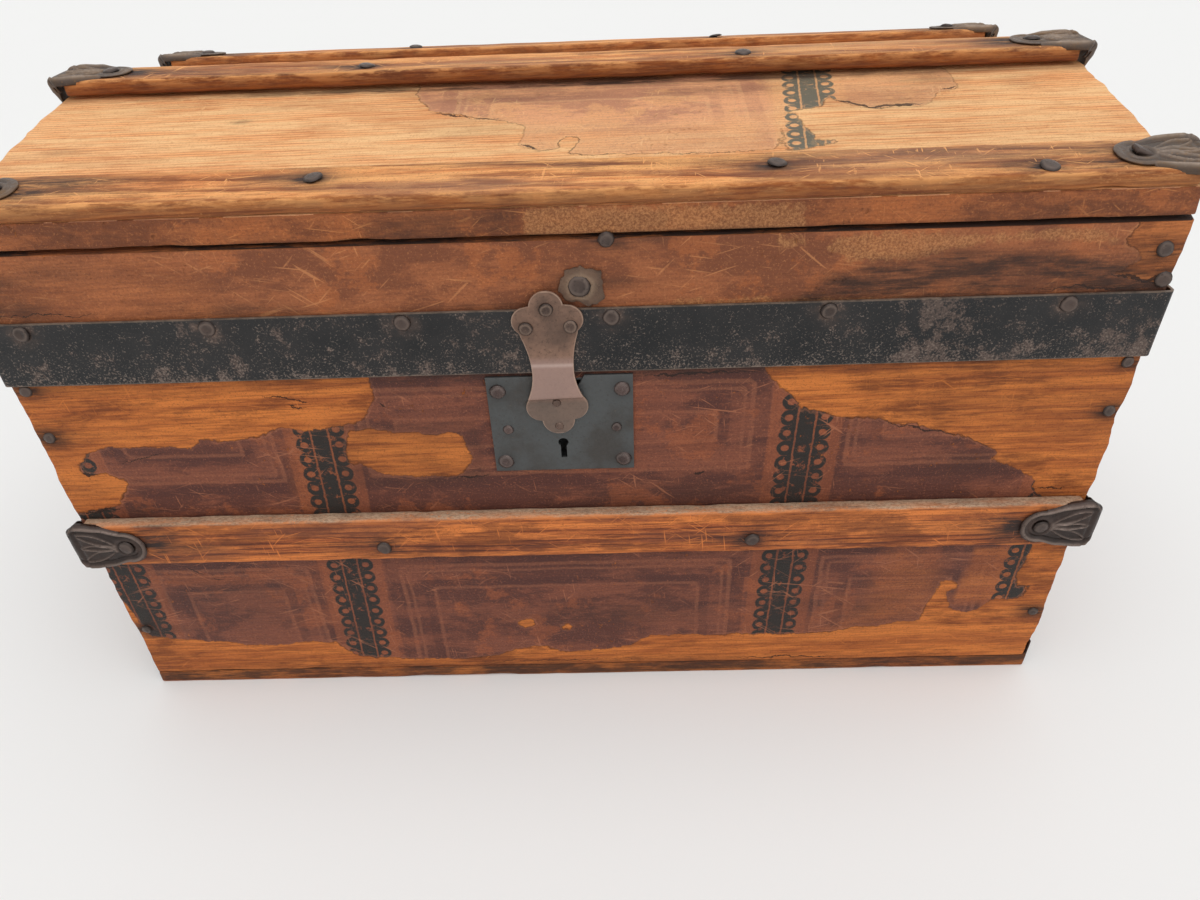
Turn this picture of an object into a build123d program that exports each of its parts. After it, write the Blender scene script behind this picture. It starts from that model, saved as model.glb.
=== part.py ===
from build123d import *
import os
from collections import namedtuple
from math import asin, atan, cos, degrees, hypot, pi, radians, sin, tan

# A small wooden keepsake trunk with sheet-metal fittings, built piece by piece.
# Millimetres. +Z is up, the front faces -Y and the length runs along X. The origin is the
# middle of the underside, on the surface that the trunk stands on.

# ---- The wooden box
box_length = 400.0  # end to end
box_depth = 209.0  # front to back
bottom_thickness = 7.0
wall_thickness = 9.5  # front, back and end boards
body_height = 170.0  # underside to the body's rim
rim_gap = 0.5  # between the body's rim and the lid's rim
lid_front_height = 53.4  # body's rim to the top of the lid's front edge
roof_pitch = 8.1  # degrees, each roof board against the level
roof_thickness = 9.2
roof_gap = 0.3  # between the lid's walls and the roof boards on them
ridge_gap = 0.2  # between the two roof boards
edge_wear = 0.8  # rounding of the long outer edges
front_corner_wear = 4.0  # rounding of the front board's lower corners
bottom_corner_wear = 7.0  # rounding of the bottom board's front corners

# ---- Slats and the stamped clamps on their ends
slat_inset = 3.5  # from each end of the box to the slat's end
slat_width = 21.1
slat_thickness = 5.7
slat_round = 1.3
body_slat_height = 80.5  # underside of the trunk to the lower edge of the front slat
clamp_sheet = 0.8
clamp_gap = 0.1  # between a slat and the clamp round it
clamp_reach = 3.5  # how far a clamp stands past the end of the box
clamp_length = 30.5
clamp_cap_length = 17.0  # the part of a clamp that wraps the slat's sides
clamp_nose_radius = 8.0
clamp_ear = 9.6  # how far the ear goes down the end of the box
clamp_ear_width = 15.0
clamp_ear_bend = 3.0  # where the ear meets the end of the box
clamp_ear_nail = 6.2  # depth of the ear's nail
clamp_ear_nail_side = 4.0  # the ear's nail, off the slat's middle
clamp_bevel = 1.2

# ---- Nails, all with a hammered head and a square shank
nail_shank = 1.8
nail_room = 0.05  # round a shank, each side
nail_tip_room = 0.3
nail_dome = 0.4  # head's height, as a share of its radius
nail_crown = 0.55  # flat top of a head, as a share of its radius
large_head = 2.4  # heads of this radius or more have eight facets
large_facets = 8
small_facets = 6
corner_nail_head = 2.3
corner_nail_length = 18.0
corner_nail_shift = 0.5  # off the end boards' middle, inwards
front_corner_heights = (36.0, 141.0)  # above the trunk's underside
front_corner_drop = 2.6  # a third one, below the band
back_corner_heights = (36.0, 91.0, 141.0)
lid_back_drops = (20.0, 41.0)  # below the lid's eaves
lid_nail_head = 2.8
lid_nail_length = 8.0
lid_front_spots = ((7.0, 20.1), (4.0, 30.8))  # in from the end, below the eaves
seam_nail_share = 0.0735  # along the box, from its middle towards an end
seam_nail_drop = 1.9  # below the roof board's edge
washer_nail_head = 3.9
washer_nail_length = 8.0
slat_nail_head = 3.1
slat_nail_length = 12.5
body_slat_nail_shift = -4.0  # off the slat's middle
ridge_slat_nail_shift = -3.5
front_slat_nail_shift = 1.8
end_slat_nail_shift = -6.0
left_slat_share = -0.39  # of the half length
right_slat_share = 0.345
end_slat_share = 0.755
clamp_nail_head = 3.1
clamp_nail_length = 11.5
ear_nail_head = 1.9
ear_nail_length = 7.0

# ---- Sheet-iron band round the lid's rim
band_width = 24.5
band_sheet = 0.9
band_lap = 5.85  # how far it hangs below the body's rim
band_gap = 0.3  # between the band and the boards
band_back_margin = 6.0  # where it stops short of the back
band_nail_drop = 3.4  # the nails, below its upper edge
band_nail_head = 3.0
band_nail_length = 8.5
band_front_shares = (-0.927, -0.607, -0.275, 0.078, 0.441, 0.836)  # shares of the half length
band_end_shares = (-0.59, 0.61)  # shares of the half depth

# ---- Lock, set in the front board
lock_x = -3.5
plate_width = 52.2
plate_height = 41.5
plate_sheet = 1.0
plate_drop = 7.5  # body's rim to the plate's upper edge
plate_nail_x = 44.2  # spacing of the plate's nails
plate_nail_z = 31.0
plate_nail_middle = 21.5  # plate's upper edge to the middle of its four nails
plate_nail_head = 2.7
plate_nail_length = 9.0
notch_mouth = 18.0  # width of the staple's notch at the plate's upper edge
notch_width = 8.0  # its width lower down
notch_taper = 9.0
notch_depth = 23.0
notch_room = 0.5  # wood cut back behind the notch, each side
keyhole_drop = 28.8  # plate's upper edge to the middle of the keyhole
keyhole_radius = 1.9
keyhole_slot = 2.2
keyhole_length = 7.0
case_width = 33.0
case_height = 37.5
case_depth = 8.5
case_sheet = 1.0
case_drop = 1.5  # plate's upper edge to the case
case_ear_height = 9.0
case_ear_end = 2.6  # rivet's middle to the ear's end
case_rivet_x = 39.8
case_rivet_drop = 22.4
case_rivet_head = 2.0
mortise_room = 0.3

# ---- Bolt and spring in the lock
bolt_thickness = 3.0
bolt_height = 11.9
bolt_arm = 5.0  # height of the arm that enters the staple
bolt_tail = 3.0  # height of the arm that the key moves
bolt_room = 0.3
bolt_travel = 6.0
bolt_post = 6.2  # length of the part that joins the two arms
bolt_talon = 3.5  # notch that the key's bit turns in
bolt_talon_depth = 1.8
spring_sheet = 0.5
spring_drop = 1.0  # case's inside to the spring's fixed end
spring_seat = 3.0  # length held against the case
spring_bend = 0.75  # where it reaches the bolt, as a share of the post

# ---- Hasp with its staple, on the lid
hasp_sheet = 1.0
hasp_room = 0.1  # between the hasp and the band
hasp_lean = 2.0  # degrees off upright
hasp_shift = -1.1  # staple's middle, off the lock's middle
hasp_bulge = 2.0  # how far its waist stands off
head_lobe = 6.0
head_side_lobe = 5.0
head_lobe_height = 42.2  # all heights on the hasp are from the staple's middle
head_side_height = 35.5
head_side_spread = 7.6
waist_half_width = 7.4
waist_height = 17.0
flare_half_width = 9.9
flare_height = 6.0
foot_side_lobe = 4.8
foot_side_spread = 5.9
foot_side_height = 3.6
foot_lobe = 6.2
foot_lobe_height = -3.6
bulge_top = 20.5
bulge_edge = 8.5
bulge_end = 7.0
hasp_rivet_head = 2.5
hasp_rivet_length = 10.0
staple_drop = 15.5  # plate's upper edge to the staple's middle
staple_height = 11.7
staple_depth = 7.2  # behind the face of the body
staple_width = 3.0
staple_sheet = 1.6
staple_rivet_radius = 1.7
staple_rivet_height = 0.5
staple_rivet_slope = 35.0

# ---- Tin washer left on the lid's front
washer_x = 5.3
washer_drop = 26.6  # below the top of the lid's front edge
washer_sheet = 0.5
washer_radius = 8.0
washer_tears = (0.8, 0.87, 0.68, 0.74, 0.76, 0.67, 0.79, 0.79, 0.74, 0.95, 0.97)  # shares left, by direction

# ---- Hinges at the back
hinge_spread = 230.0
hinge_width = 30.0
leaf_length = 19.0
hinge_sheet = 1.0
hinge_standoff = 2.5  # back boards to the pin's middle
knuckle_radius = 2.2
knuckle_length = 10.0  # the lid's knuckle
knuckle_gap = 0.25
knuckle_room = 0.3
pin_radius = 1.1
pin_room = 0.05
bore_facets = 12
pin_end = 0.6  # how far a pin stands out of its knuckles
hinge_corner = 3.0
hinge_nail_head = 2.0
hinge_nail_length = 8.5
hinge_nail_spread = 9.0  # the two outer nails, off the leaf's middle
hinge_nail_far = 14.0  # pin to the outer nails
hinge_nail_near = 8.0  # pin to the middle nail
stop_length = 6.0  # the lid leaf's tongue that ends the lid's swing
stop_sheet = 1.0
stop_gap = 0.1
lid_swing = 105.0  # degrees

# ---- Leather handles at the ends
handle_height = 112.0
handle_width = 18.0
handle_thickness = 3.0
handle_half_span = 50.0
handle_lip = 1.5  # the strap's straight run, out of each cap
handle_bow = 10.5
cap_sheet = 0.8
cap_room = 0.2
cap_flange = 5.0
cap_length = 17.0
cap_end = 1.5  # beyond the strap's end
handle_nail_head = 1.9
handle_nail_length = 8.0

# ---- Irons along the lower edge of each end
iron_sheet = 0.7
iron_height = 14.0
iron_foot = 12.0
iron_margin = 2.0
iron_nail_height = 7.6
iron_nail_inset = 36.5  # from the front and the back
iron_nail_head = 2.0
iron_nail_length = 8.0

# ---- Places worked out from the sizes above
front_y = -box_depth / 2
back_y = box_depth / 2
end_x = box_length / 2
pitch = radians(roof_pitch)
lid_rim = body_height + rim_gap
eave_height = body_height + lid_front_height
ridge_height = eave_height + back_y * tan(pitch)
roof_drop = roof_thickness / cos(pitch)
band_bottom = body_height - band_lap
band_top = band_bottom + band_width
band_face = band_gap + band_sheet
plate_top = body_height - plate_drop
staple_middle = plate_top - staple_drop
staple_x = lock_x + hasp_shift
hinge_y = back_y + hinge_standoff
hinge_z = body_height + rim_gap / 2
ridge_slat_drop = slat_width / 2 * tan(pitch)
slat_length = box_length - 2 * slat_inset


def roof_underside(y):
    """Height of the lid's walls, just under the roof boards."""
    return ridge_height - abs(y) * tan(pitch) - roof_drop - roof_gap


# Planes that the slats lie on: X along the slat, Y across it, Z away from the wood below.
front_roof_seat = Plane(
    origin=(0, front_y, eave_height),
    x_dir=(1, 0, 0),
    z_dir=(0, -sin(pitch), cos(pitch)),
)
rear_roof_seat = Plane(
    origin=(0, back_y, eave_height),
    x_dir=(-1, 0, 0),
    z_dir=(0, sin(pitch), cos(pitch)),
)
ridge_seat = Plane(
    origin=(0, -slat_width / 2, ridge_height - ridge_slat_drop),
    x_dir=(1, 0, 0),
)
body_seat = Plane(
    origin=(0, front_y, body_slat_height),
    x_dir=(1, 0, 0),
    z_dir=(0, -1, 0),
)

# The hasp's plane: X across it, Y up along it from the staple's middle, Z out of the front.
lean = radians(hasp_lean)
hasp_plane = Plane(
    origin=(staple_x, front_y, staple_middle),
    x_dir=(cos(lean), 0, sin(lean)),
    z_dir=(0, -1, 0),
)


def front_place(x, z, out=0.0):
    return Plane(origin=(x, front_y - out, z), x_dir=(1, 0, 0), z_dir=(0, -1, 0))


def back_place(x, z, out=0.0):
    return Plane(origin=(x, back_y + out, z), x_dir=(-1, 0, 0), z_dir=(0, 1, 0))


def end_place(side, y, z, out=0.0):
    return Plane(origin=(side * (end_x + out), y, z), x_dir=(0, side, 0), z_dir=(side, 0, 0))


def seat_place(seat, x, y, out):
    return Plane(origin=seat.from_local_coords((x, y, out)), x_dir=seat.x_dir, z_dir=seat.z_dir)


# ---- Nail sets: where each nail stands, and its size
NailSet = namedtuple("NailSet", "places head_radius length")
both = (-1, 1)
slat_middle = slat_width / 2
ridge_slat_height = slat_thickness + ridge_slat_drop
corner_nail_x = end_x - wall_thickness / 2 - corner_nail_shift


def front_pairs(inset, heights):
    return [front_place(side * (end_x - inset), z) for side in both for z in heights]


def slat_places(seat, height, spots):
    """Places on a slat, from shares of the half length and shifts off the slat's middle."""
    return [seat_place(seat, share * end_x, slat_middle + shift, height) for share, shift in spots]


def clamp_nose_places(seat, height):
    reach = end_x + clamp_reach - clamp_length + clamp_nose_radius
    top = height + clamp_gap + clamp_sheet
    return [seat_place(seat, side * reach, slat_middle, top) for side in both]


def clamp_ear_places(seat):
    places = []
    for side in both:
        spot = (side * (end_x + clamp_sheet), slat_middle + clamp_ear_nail_side, -clamp_ear_nail)
        outward = seat.x_dir * side
        places.append(Plane(origin=seat.from_local_coords(spot), x_dir=seat.y_dir, z_dir=outward))
    return places


def hinge_nail_places(up):
    """Three nails a leaf: the lid's leaves go up from the pin, the body's go down."""
    spots = (
        (-hinge_nail_spread, hinge_nail_far),
        (hinge_nail_spread, hinge_nail_far),
        (0, hinge_nail_near),
    )
    return [
        back_place(side * hinge_spread / 2 + x, hinge_z + up * z, hinge_sheet)
        for side in both
        for x, z in spots
    ]


front_corner_set = NailSet(
    front_pairs(end_x - corner_nail_x, (*front_corner_heights, band_bottom - front_corner_drop)),
    corner_nail_head,
    corner_nail_length,
)
back_corner_set = NailSet(
    [back_place(side * corner_nail_x, z) for side in both for z in back_corner_heights],
    corner_nail_head,
    corner_nail_length,
)
lid_front_set = NailSet(
    [place for inset, drop in lid_front_spots for place in front_pairs(inset, (eave_height - drop,))]
    + [front_place(seam_nail_share * end_x, eave_height - roof_drop - seam_nail_drop)],
    lid_nail_head,
    lid_nail_length,
)
lid_back_set = NailSet(
    [back_place(side * corner_nail_x, eave_height - drop) for side in both for drop in lid_back_drops],
    corner_nail_head,
    corner_nail_length,
)
washer_set = NailSet(
    [front_place(washer_x, eave_height - washer_drop, washer_sheet)],
    washer_nail_head,
    washer_nail_length,
)
body_slat_set = NailSet(
    slat_places(
        body_seat,
        slat_thickness,
        ((left_slat_share, body_slat_nail_shift), (right_slat_share, body_slat_nail_shift)),
    ),
    slat_nail_head,
    slat_nail_length,
)
front_slat_set = NailSet(
    slat_places(
        front_roof_seat,
        slat_thickness,
        (
            (left_slat_share, front_slat_nail_shift),
            (right_slat_share, front_slat_nail_shift),
            (end_slat_share, end_slat_nail_shift),
        ),
    ),
    slat_nail_head,
    slat_nail_length,
)
ridge_slat_set = NailSet(
    slat_places(
        ridge_seat,
        ridge_slat_height,
        ((left_slat_share, ridge_slat_nail_shift), (right_slat_share, ridge_slat_nail_shift)),
    ),
    slat_nail_head,
    slat_nail_length,
)
rear_slat_set = NailSet(
    slat_places(rear_roof_seat, slat_thickness, ((-left_slat_share, 0), (-right_slat_share, 0))),
    slat_nail_head,
    slat_nail_length,
)
lid_nose_set = NailSet(
    clamp_nose_places(front_roof_seat, slat_thickness)
    + clamp_nose_places(rear_roof_seat, slat_thickness)
    + clamp_nose_places(ridge_seat, ridge_slat_height),
    clamp_nail_head,
    clamp_nail_length,
)
lid_ear_set = NailSet(
    clamp_ear_places(front_roof_seat) + clamp_ear_places(ridge_seat) + clamp_ear_places(rear_roof_seat),
    ear_nail_head,
    ear_nail_length,
)
body_nose_set = NailSet(clamp_nose_places(body_seat, slat_thickness), clamp_nail_head, clamp_nail_length)
body_ear_set = NailSet(clamp_ear_places(body_seat), ear_nail_head, ear_nail_length)
band_set = NailSet(
    [front_place(share * end_x, band_top - band_nail_drop, band_face) for share in band_front_shares]
    + [
        end_place(side, share * back_y, band_top - band_nail_drop, band_face)
        for side in both
        for share in band_end_shares
    ],
    band_nail_head,
    band_nail_length,
)
hasp_set = NailSet(
    [
        seat_place(hasp_plane, x, y, band_face + hasp_room + hasp_sheet)
        for x, y in (
            (0, head_lobe_height),
            (-head_side_spread, head_side_height),
            (head_side_spread, head_side_height),
        )
    ],
    hasp_rivet_head,
    hasp_rivet_length,
)
plate_set = NailSet(
    [
        front_place(
            lock_x + side * plate_nail_x / 2,
            plate_top - plate_nail_middle + row * plate_nail_z / 2,
            plate_sheet,
        )
        for side in both
        for row in both
    ],
    plate_nail_head,
    plate_nail_length,
)
case_rivet_set = NailSet(
    [
        front_place(lock_x + side * case_rivet_x / 2, plate_top - case_rivet_drop, plate_sheet)
        for side in both
    ],
    case_rivet_head,
    plate_sheet + case_sheet,
)
iron_set = NailSet(
    [
        end_place(side, row * (back_y - iron_nail_inset), iron_nail_height, iron_sheet)
        for side in both
        for row in both
    ],
    iron_nail_head,
    iron_nail_length,
)
body_hinge_set = NailSet(hinge_nail_places(-1), hinge_nail_head, hinge_nail_length)
lid_hinge_set = NailSet(hinge_nail_places(1), hinge_nail_head, hinge_nail_length)
cap_half_width = handle_width / 2 + cap_room + cap_sheet
cap_middle = handle_half_span + cap_end - cap_length / 2
handle_set = NailSet(
    [
        end_place(side, row * cap_middle, handle_height + up * (cap_half_width + cap_flange / 2), cap_sheet)
        for side in both
        for row in both
        for up in both
    ],
    handle_nail_head,
    handle_nail_length,
)


def nail(head_radius, length):
    """One nail: a hammered head of flat facets that rests on Z = 0, and a square shank below it."""
    facets = large_facets if head_radius >= large_head else small_facets
    height = head_radius * nail_dome
    lean_in = degrees(atan(head_radius * (1 - nail_crown) / height))
    with BuildPart() as piece:
        with BuildSketch(Plane.XY):
            RegularPolygon(head_radius, facets)
        extrude(amount=height, taper=lean_in)
        Box(nail_shank, nail_shank, length, align=(Align.CENTER, Align.CENTER, Align.MAX))
    return piece.part


def nail_holes(*sets):
    """Cut the shanks' holes for these sets out of the part being built."""
    width = nail_shank + 2 * nail_room
    for nails in sets:
        with Locations(*nails.places):
            Box(
                width,
                width,
                nails.length + nail_tip_room,
                align=(Align.CENTER, Align.CENTER, Align.MAX),
                mode=Mode.SUBTRACT,
            )


def save(piece, name):
    piece.part.label = name
    export_step(piece.part, f"parts/{name}.step")


os.makedirs("parts", exist_ok=True)

# ============================================================ the body's boards
wall_height = body_height - bottom_thickness
inner_depth = box_depth - 2 * wall_thickness

with BuildPart() as body_front_board:
    with Locations((0, front_y, bottom_thickness)):
        Box(box_length, wall_thickness, wall_height, align=(Align.CENTER, Align.MIN, Align.MIN))
    fillet(body_front_board.edges().filter_by(Axis.Z).group_by(Axis.Y)[0], edge_wear)
    with BuildSketch(front_place(0, bottom_thickness)) as worn_face:
        Rectangle(box_length, wall_height, align=(Align.CENTER, Align.MIN))
        fillet(worn_face.vertices().group_by(Axis.Y)[0], front_corner_wear)
    extrude(amount=-wall_thickness, mode=Mode.INTERSECT)
    # The mortise takes the lock's case, the notch above it lets the staple in from the rim.
    with BuildSketch(front_place(lock_x, plate_top)):
        with Locations((0, -case_drop + mortise_room)):
            Rectangle(
                case_width + 2 * mortise_room,
                case_height + 2 * mortise_room,
                align=(Align.CENTER, Align.MAX),
            )
        with Locations((0, -case_drop)):
            Rectangle(
                notch_width + 2 * notch_room,
                2 * (plate_drop + case_drop),
                align=(Align.CENTER, Align.MIN),
            )
    extrude(amount=-wall_thickness, mode=Mode.SUBTRACT)
    with BuildSketch(front_place(lock_x, plate_top - case_rivet_drop)):
        Rectangle(case_rivet_x + 2 * (case_ear_end + mortise_room), case_ear_height + 2 * mortise_room)
    extrude(amount=-(case_sheet + mortise_room), mode=Mode.SUBTRACT)
    nail_holes(front_corner_set, body_slat_set, body_nose_set, body_ear_set, plate_set)
save(body_front_board, "body_front_board")

with BuildPart() as body_back_board:
    with Locations((0, back_y, bottom_thickness)):
        Box(box_length, wall_thickness, wall_height, align=(Align.CENTER, Align.MAX, Align.MIN))
    fillet(body_back_board.edges().filter_by(Axis.Z).group_by(Axis.Y)[-1], edge_wear)
    nail_holes(back_corner_set, body_hinge_set)
save(body_back_board, "body_back_board")

for side, name in ((-1, "body_left_end"), (1, "body_right_end")):
    with BuildPart() as body_end:
        with Locations((side * (end_x - wall_thickness / 2), 0, bottom_thickness)):
            Box(wall_thickness, inner_depth, wall_height, align=(Align.CENTER, Align.CENTER, Align.MIN))
        nail_holes(front_corner_set, back_corner_set, handle_set, iron_set)
    save(body_end, name)


def iron_sheet_form(side):
    """The iron's foot and leg, as they lie on the trunk's lower edge."""
    length = box_depth - 2 * iron_margin
    outer = end_x + iron_sheet
    with BuildPart() as piece:
        with BuildSketch(Plane.XZ.offset(-length / 2)):
            with BuildLine():
                Polyline(
                    (side * outer, 0),
                    (side * outer, iron_height),
                    (side * end_x, iron_height),
                    (side * end_x, iron_sheet),
                    (side * (end_x - iron_foot), iron_sheet),
                    (side * (end_x - iron_foot), 0),
                    close=True,
                )
            make_face()
        extrude(amount=length)
    return piece.part


iron_forms = {side: iron_sheet_form(side) for side in both}

with BuildPart() as bottom_board:
    Box(box_length, box_depth, bottom_thickness, align=(Align.CENTER, Align.CENTER, Align.MIN))
    fillet(bottom_board.edges().filter_by(Axis.Z).group_by(Axis.Y)[0], bottom_corner_wear)
    for side in both:
        add(iron_forms[side], mode=Mode.SUBTRACT)
    nail_holes(iron_set)
save(bottom_board, "bottom_board")

for side, name in ((-1, "bottom_iron_left"), (1, "bottom_iron_right")):
    with BuildPart() as bottom_iron:
        add(iron_forms[side])
        nail_holes(iron_set)
    save(bottom_iron, name)


# ============================================================ slats and clamps
def slat(height):
    """A slat on its seat, with its two outer long edges rounded."""
    with BuildPart() as piece:
        Box(slat_length, slat_width, height, align=(Align.CENTER, Align.MIN, Align.MIN))
        fillet(piece.edges().filter_by(Axis.X).group_by(Axis.Z)[-1], slat_round)
    return piece.part


def slat_clamp(side, height):
    """A stamped clamp on a slat's end: nose on the slat, cap round the end, ear on the box."""
    reach = end_x + clamp_reach
    nose = reach - clamp_length + clamp_nose_radius
    cap_start = reach - clamp_cap_length
    under = height + clamp_gap
    top = under + clamp_sheet
    outer = clamp_gap + clamp_sheet
    width = slat_width + 2 * outer
    with BuildPart() as piece:
        with BuildSketch(Plane.XY.offset(under)):
            with Locations((nose, slat_middle)):
                Circle(clamp_nose_radius)
            with BuildLine():
                Polyline(
                    (nose, slat_middle - clamp_nose_radius),
                    (cap_start, -outer),
                    (reach, -outer),
                    (reach, slat_width + outer),
                    (cap_start, slat_width + outer),
                    (nose, slat_middle + clamp_nose_radius),
                    close=True,
                )
            make_face()
        extrude(amount=clamp_sheet)
        with BuildSketch(Plane.XY):
            with Locations((reach, slat_middle)):
                Rectangle(clamp_cap_length, width, align=(Align.MAX, Align.CENTER))
            with Locations((reach - clamp_sheet, slat_middle)):
                Rectangle(
                    clamp_cap_length,
                    width - 2 * clamp_sheet,
                    align=(Align.MAX, Align.CENTER),
                    mode=Mode.SUBTRACT,
                )
        extrude(amount=top)
        chamfer(piece.edges().filter_by(Axis.Y).group_by(Axis.X)[-1].sort_by(Axis.Z)[-1], clamp_bevel)
        with BuildSketch(Plane.XZ.offset(-(slat_middle + clamp_ear_width / 2))):
            with BuildLine():
                Polyline(
                    (reach, 0),
                    (end_x + clamp_sheet, -clamp_ear_bend),
                    (end_x + clamp_sheet, -clamp_ear),
                    (end_x, -clamp_ear),
                    (end_x, -clamp_ear_bend),
                    (reach - clamp_sheet, 0),
                    close=True,
                )
            make_face()
        extrude(amount=clamp_ear_width)
        if side < 0:
            mirror(about=Plane.YZ)
            split(bisect_by=Plane.YZ, keep=Keep.BOTTOM)
    return piece.part


plain_slat = slat(slat_thickness)
deep_slat = slat(ridge_slat_height)

with BuildPart() as body_front_slat:
    with Locations(body_seat):
        add(plain_slat)
    nail_holes(body_slat_set, body_nose_set)
save(body_front_slat, "body_front_slat")

with BuildPart() as lid_front_slat:
    with Locations(front_roof_seat):
        add(plain_slat)
    nail_holes(front_slat_set, lid_nose_set)
save(lid_front_slat, "lid_front_slat")

with BuildPart() as lid_rear_slat:
    with Locations(rear_roof_seat):
        add(plain_slat)
    nail_holes(rear_slat_set, lid_nose_set)
save(lid_rear_slat, "lid_rear_slat")

with BuildPart() as lid_ridge_slat:
    with Locations(ridge_seat):
        add(deep_slat)
    # Its underside is hollowed to sit on the ridge.
    with BuildSketch(Plane.YZ.offset(-slat_length / 2)):
        with BuildLine():
            Polyline(
                (-slat_middle, ridge_height - ridge_slat_drop),
                (0, ridge_height),
                (slat_middle, ridge_height - ridge_slat_drop),
                close=True,
            )
        make_face()
    extrude(amount=slat_length, mode=Mode.SUBTRACT)
    nail_holes(ridge_slat_set, lid_nose_set)
save(lid_ridge_slat, "lid_ridge_slat")

clamp_nodes = (
    ("body_slat_clamp_left", body_seat, -1, slat_thickness),
    ("body_slat_clamp_right", body_seat, 1, slat_thickness),
    ("lid_front_clamp_left", front_roof_seat, -1, slat_thickness),
    ("lid_front_clamp_right", front_roof_seat, 1, slat_thickness),
    ("lid_ridge_clamp_left", ridge_seat, -1, ridge_slat_height),
    ("lid_ridge_clamp_right", ridge_seat, 1, ridge_slat_height),
    ("lid_rear_clamp_left", rear_roof_seat, 1, slat_thickness),
    ("lid_rear_clamp_right", rear_roof_seat, -1, slat_thickness),
)
for name, seat, side, height in clamp_nodes:
    clamp_form = slat_clamp(side, height)
    with BuildPart() as clamp:
        with Locations(seat):
            add(clamp_form)
        nail_holes(body_nose_set, body_ear_set, lid_nose_set, lid_ear_set)
    save(clamp, name)

# ============================================================ the lid's boards
for side, name in ((-1, "lid_front_board"), (1, "lid_back_board")):
    with BuildPart() as lid_wall:
        outer = side * back_y
        inner = side * (back_y - wall_thickness)
        with BuildSketch(Plane.YZ):
            with BuildLine():
                Polyline(
                    (outer, lid_rim),
                    (outer, roof_underside(outer)),
                    (inner, roof_underside(inner)),
                    (inner, lid_rim),
                    close=True,
                )
            make_face()
        extrude(amount=end_x, both=True)
        fillet(lid_wall.edges().filter_by(Axis.Z).group_by(Axis.Y)[-1 if side > 0 else 0], edge_wear)
        if side < 0:
            nail_holes(lid_front_set, washer_set, band_set, hasp_set)
        else:
            nail_holes(lid_back_set, lid_hinge_set)
    save(lid_wall, name)

for side, name in ((-1, "lid_left_end"), (1, "lid_right_end")):
    with BuildPart() as lid_end:
        inner = inner_depth / 2
        with BuildSketch(Plane.YZ.offset(side * (end_x - wall_thickness / 2))):
            with BuildLine():
                Polyline(
                    (-inner, lid_rim),
                    (-inner, roof_underside(inner)),
                    (0, roof_underside(0)),
                    (inner, roof_underside(inner)),
                    (inner, lid_rim),
                    close=True,
                )
            make_face()
        extrude(amount=wall_thickness / 2, both=True)
        nail_holes(lid_front_set, lid_back_set, band_set, lid_ear_set, lid_nose_set)
    save(lid_end, name)

for side, name in ((-1, "lid_top_front_board"), (1, "lid_top_rear_board")):
    with BuildPart() as roof_board:
        outer = side * back_y
        seam = side * ridge_gap / 2
        seam_top = ridge_height - ridge_gap / 2 * tan(pitch)
        with BuildSketch(Plane.YZ):
            with BuildLine():
                Polyline(
                    (outer, eave_height - roof_drop),
                    (outer, eave_height),
                    (seam, seam_top),
                    (seam, seam_top - roof_drop),
                    close=True,
                )
            make_face()
        extrude(amount=end_x, both=True)
        nail_holes(front_slat_set, ridge_slat_set, rear_slat_set, lid_nose_set, lid_ear_set)
    save(roof_board, name)

# ============================================================ the band
with BuildPart() as lid_band:
    outer_x = end_x + band_face
    outer_y = front_y - band_face
    back_end = back_y - band_back_margin
    corner = edge_wear + band_face
    with BuildSketch(Plane.XY.offset(band_bottom)):
        with BuildLine():
            run = FilletPolyline(
                (-outer_x + band_sheet / 2, back_end),
                (-outer_x + band_sheet / 2, outer_y + band_sheet / 2),
                (outer_x - band_sheet / 2, outer_y + band_sheet / 2),
                (outer_x - band_sheet / 2, back_end),
                radius=corner - band_sheet / 2,
            )
        trace(line_width=band_sheet)
    extrude(amount=band_width)
    nail_holes(band_set, hasp_set)
save(lid_band, "lid_band")

# ============================================================ the lock
with BuildPart() as lock_plate:
    with BuildSketch(front_place(lock_x, plate_top)):
        Rectangle(plate_width, plate_height, align=(Align.CENTER, Align.MAX))
        # The notch for the staple is open at the plate's upper edge.
        with BuildLine():
            Polyline(
                (-notch_mouth / 2, 0),
                (-notch_width / 2, -notch_taper),
                (notch_width / 2, -notch_taper),
                (notch_mouth / 2, 0),
                close=True,
            )
        make_face(mode=Mode.SUBTRACT)
        notch_round = notch_depth - notch_width / 2
        with Locations((0, -notch_taper)):
            Rectangle(
                notch_width,
                notch_round - notch_taper,
                align=(Align.CENTER, Align.MAX),
                mode=Mode.SUBTRACT,
            )
        with Locations((0, -notch_round)):
            Circle(notch_width / 2, mode=Mode.SUBTRACT)
        with Locations((0, -keyhole_drop)):
            Circle(keyhole_radius, mode=Mode.SUBTRACT)
            Rectangle(keyhole_slot, keyhole_length, align=(Align.CENTER, Align.MAX), mode=Mode.SUBTRACT)
    extrude(amount=plate_sheet)
    nail_holes(plate_set, case_rivet_set)
save(lock_plate, "lock_plate")

# Heights inside the lock are from the plate's upper edge, depths from the body's face.
bolt_left = -case_width / 2 + case_sheet + bolt_room
bolt_tip = hasp_shift - staple_width / 2 - 2 * bolt_room
bolt_middle = -staple_drop
bolt_top = bolt_middle + bolt_arm / 2
bolt_bottom = bolt_top - bolt_height
bolt_tail_end = case_width / 2 - case_sheet - bolt_room - bolt_travel
case_top = -case_drop
lock_front = front_place(lock_x, plate_top)

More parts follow.
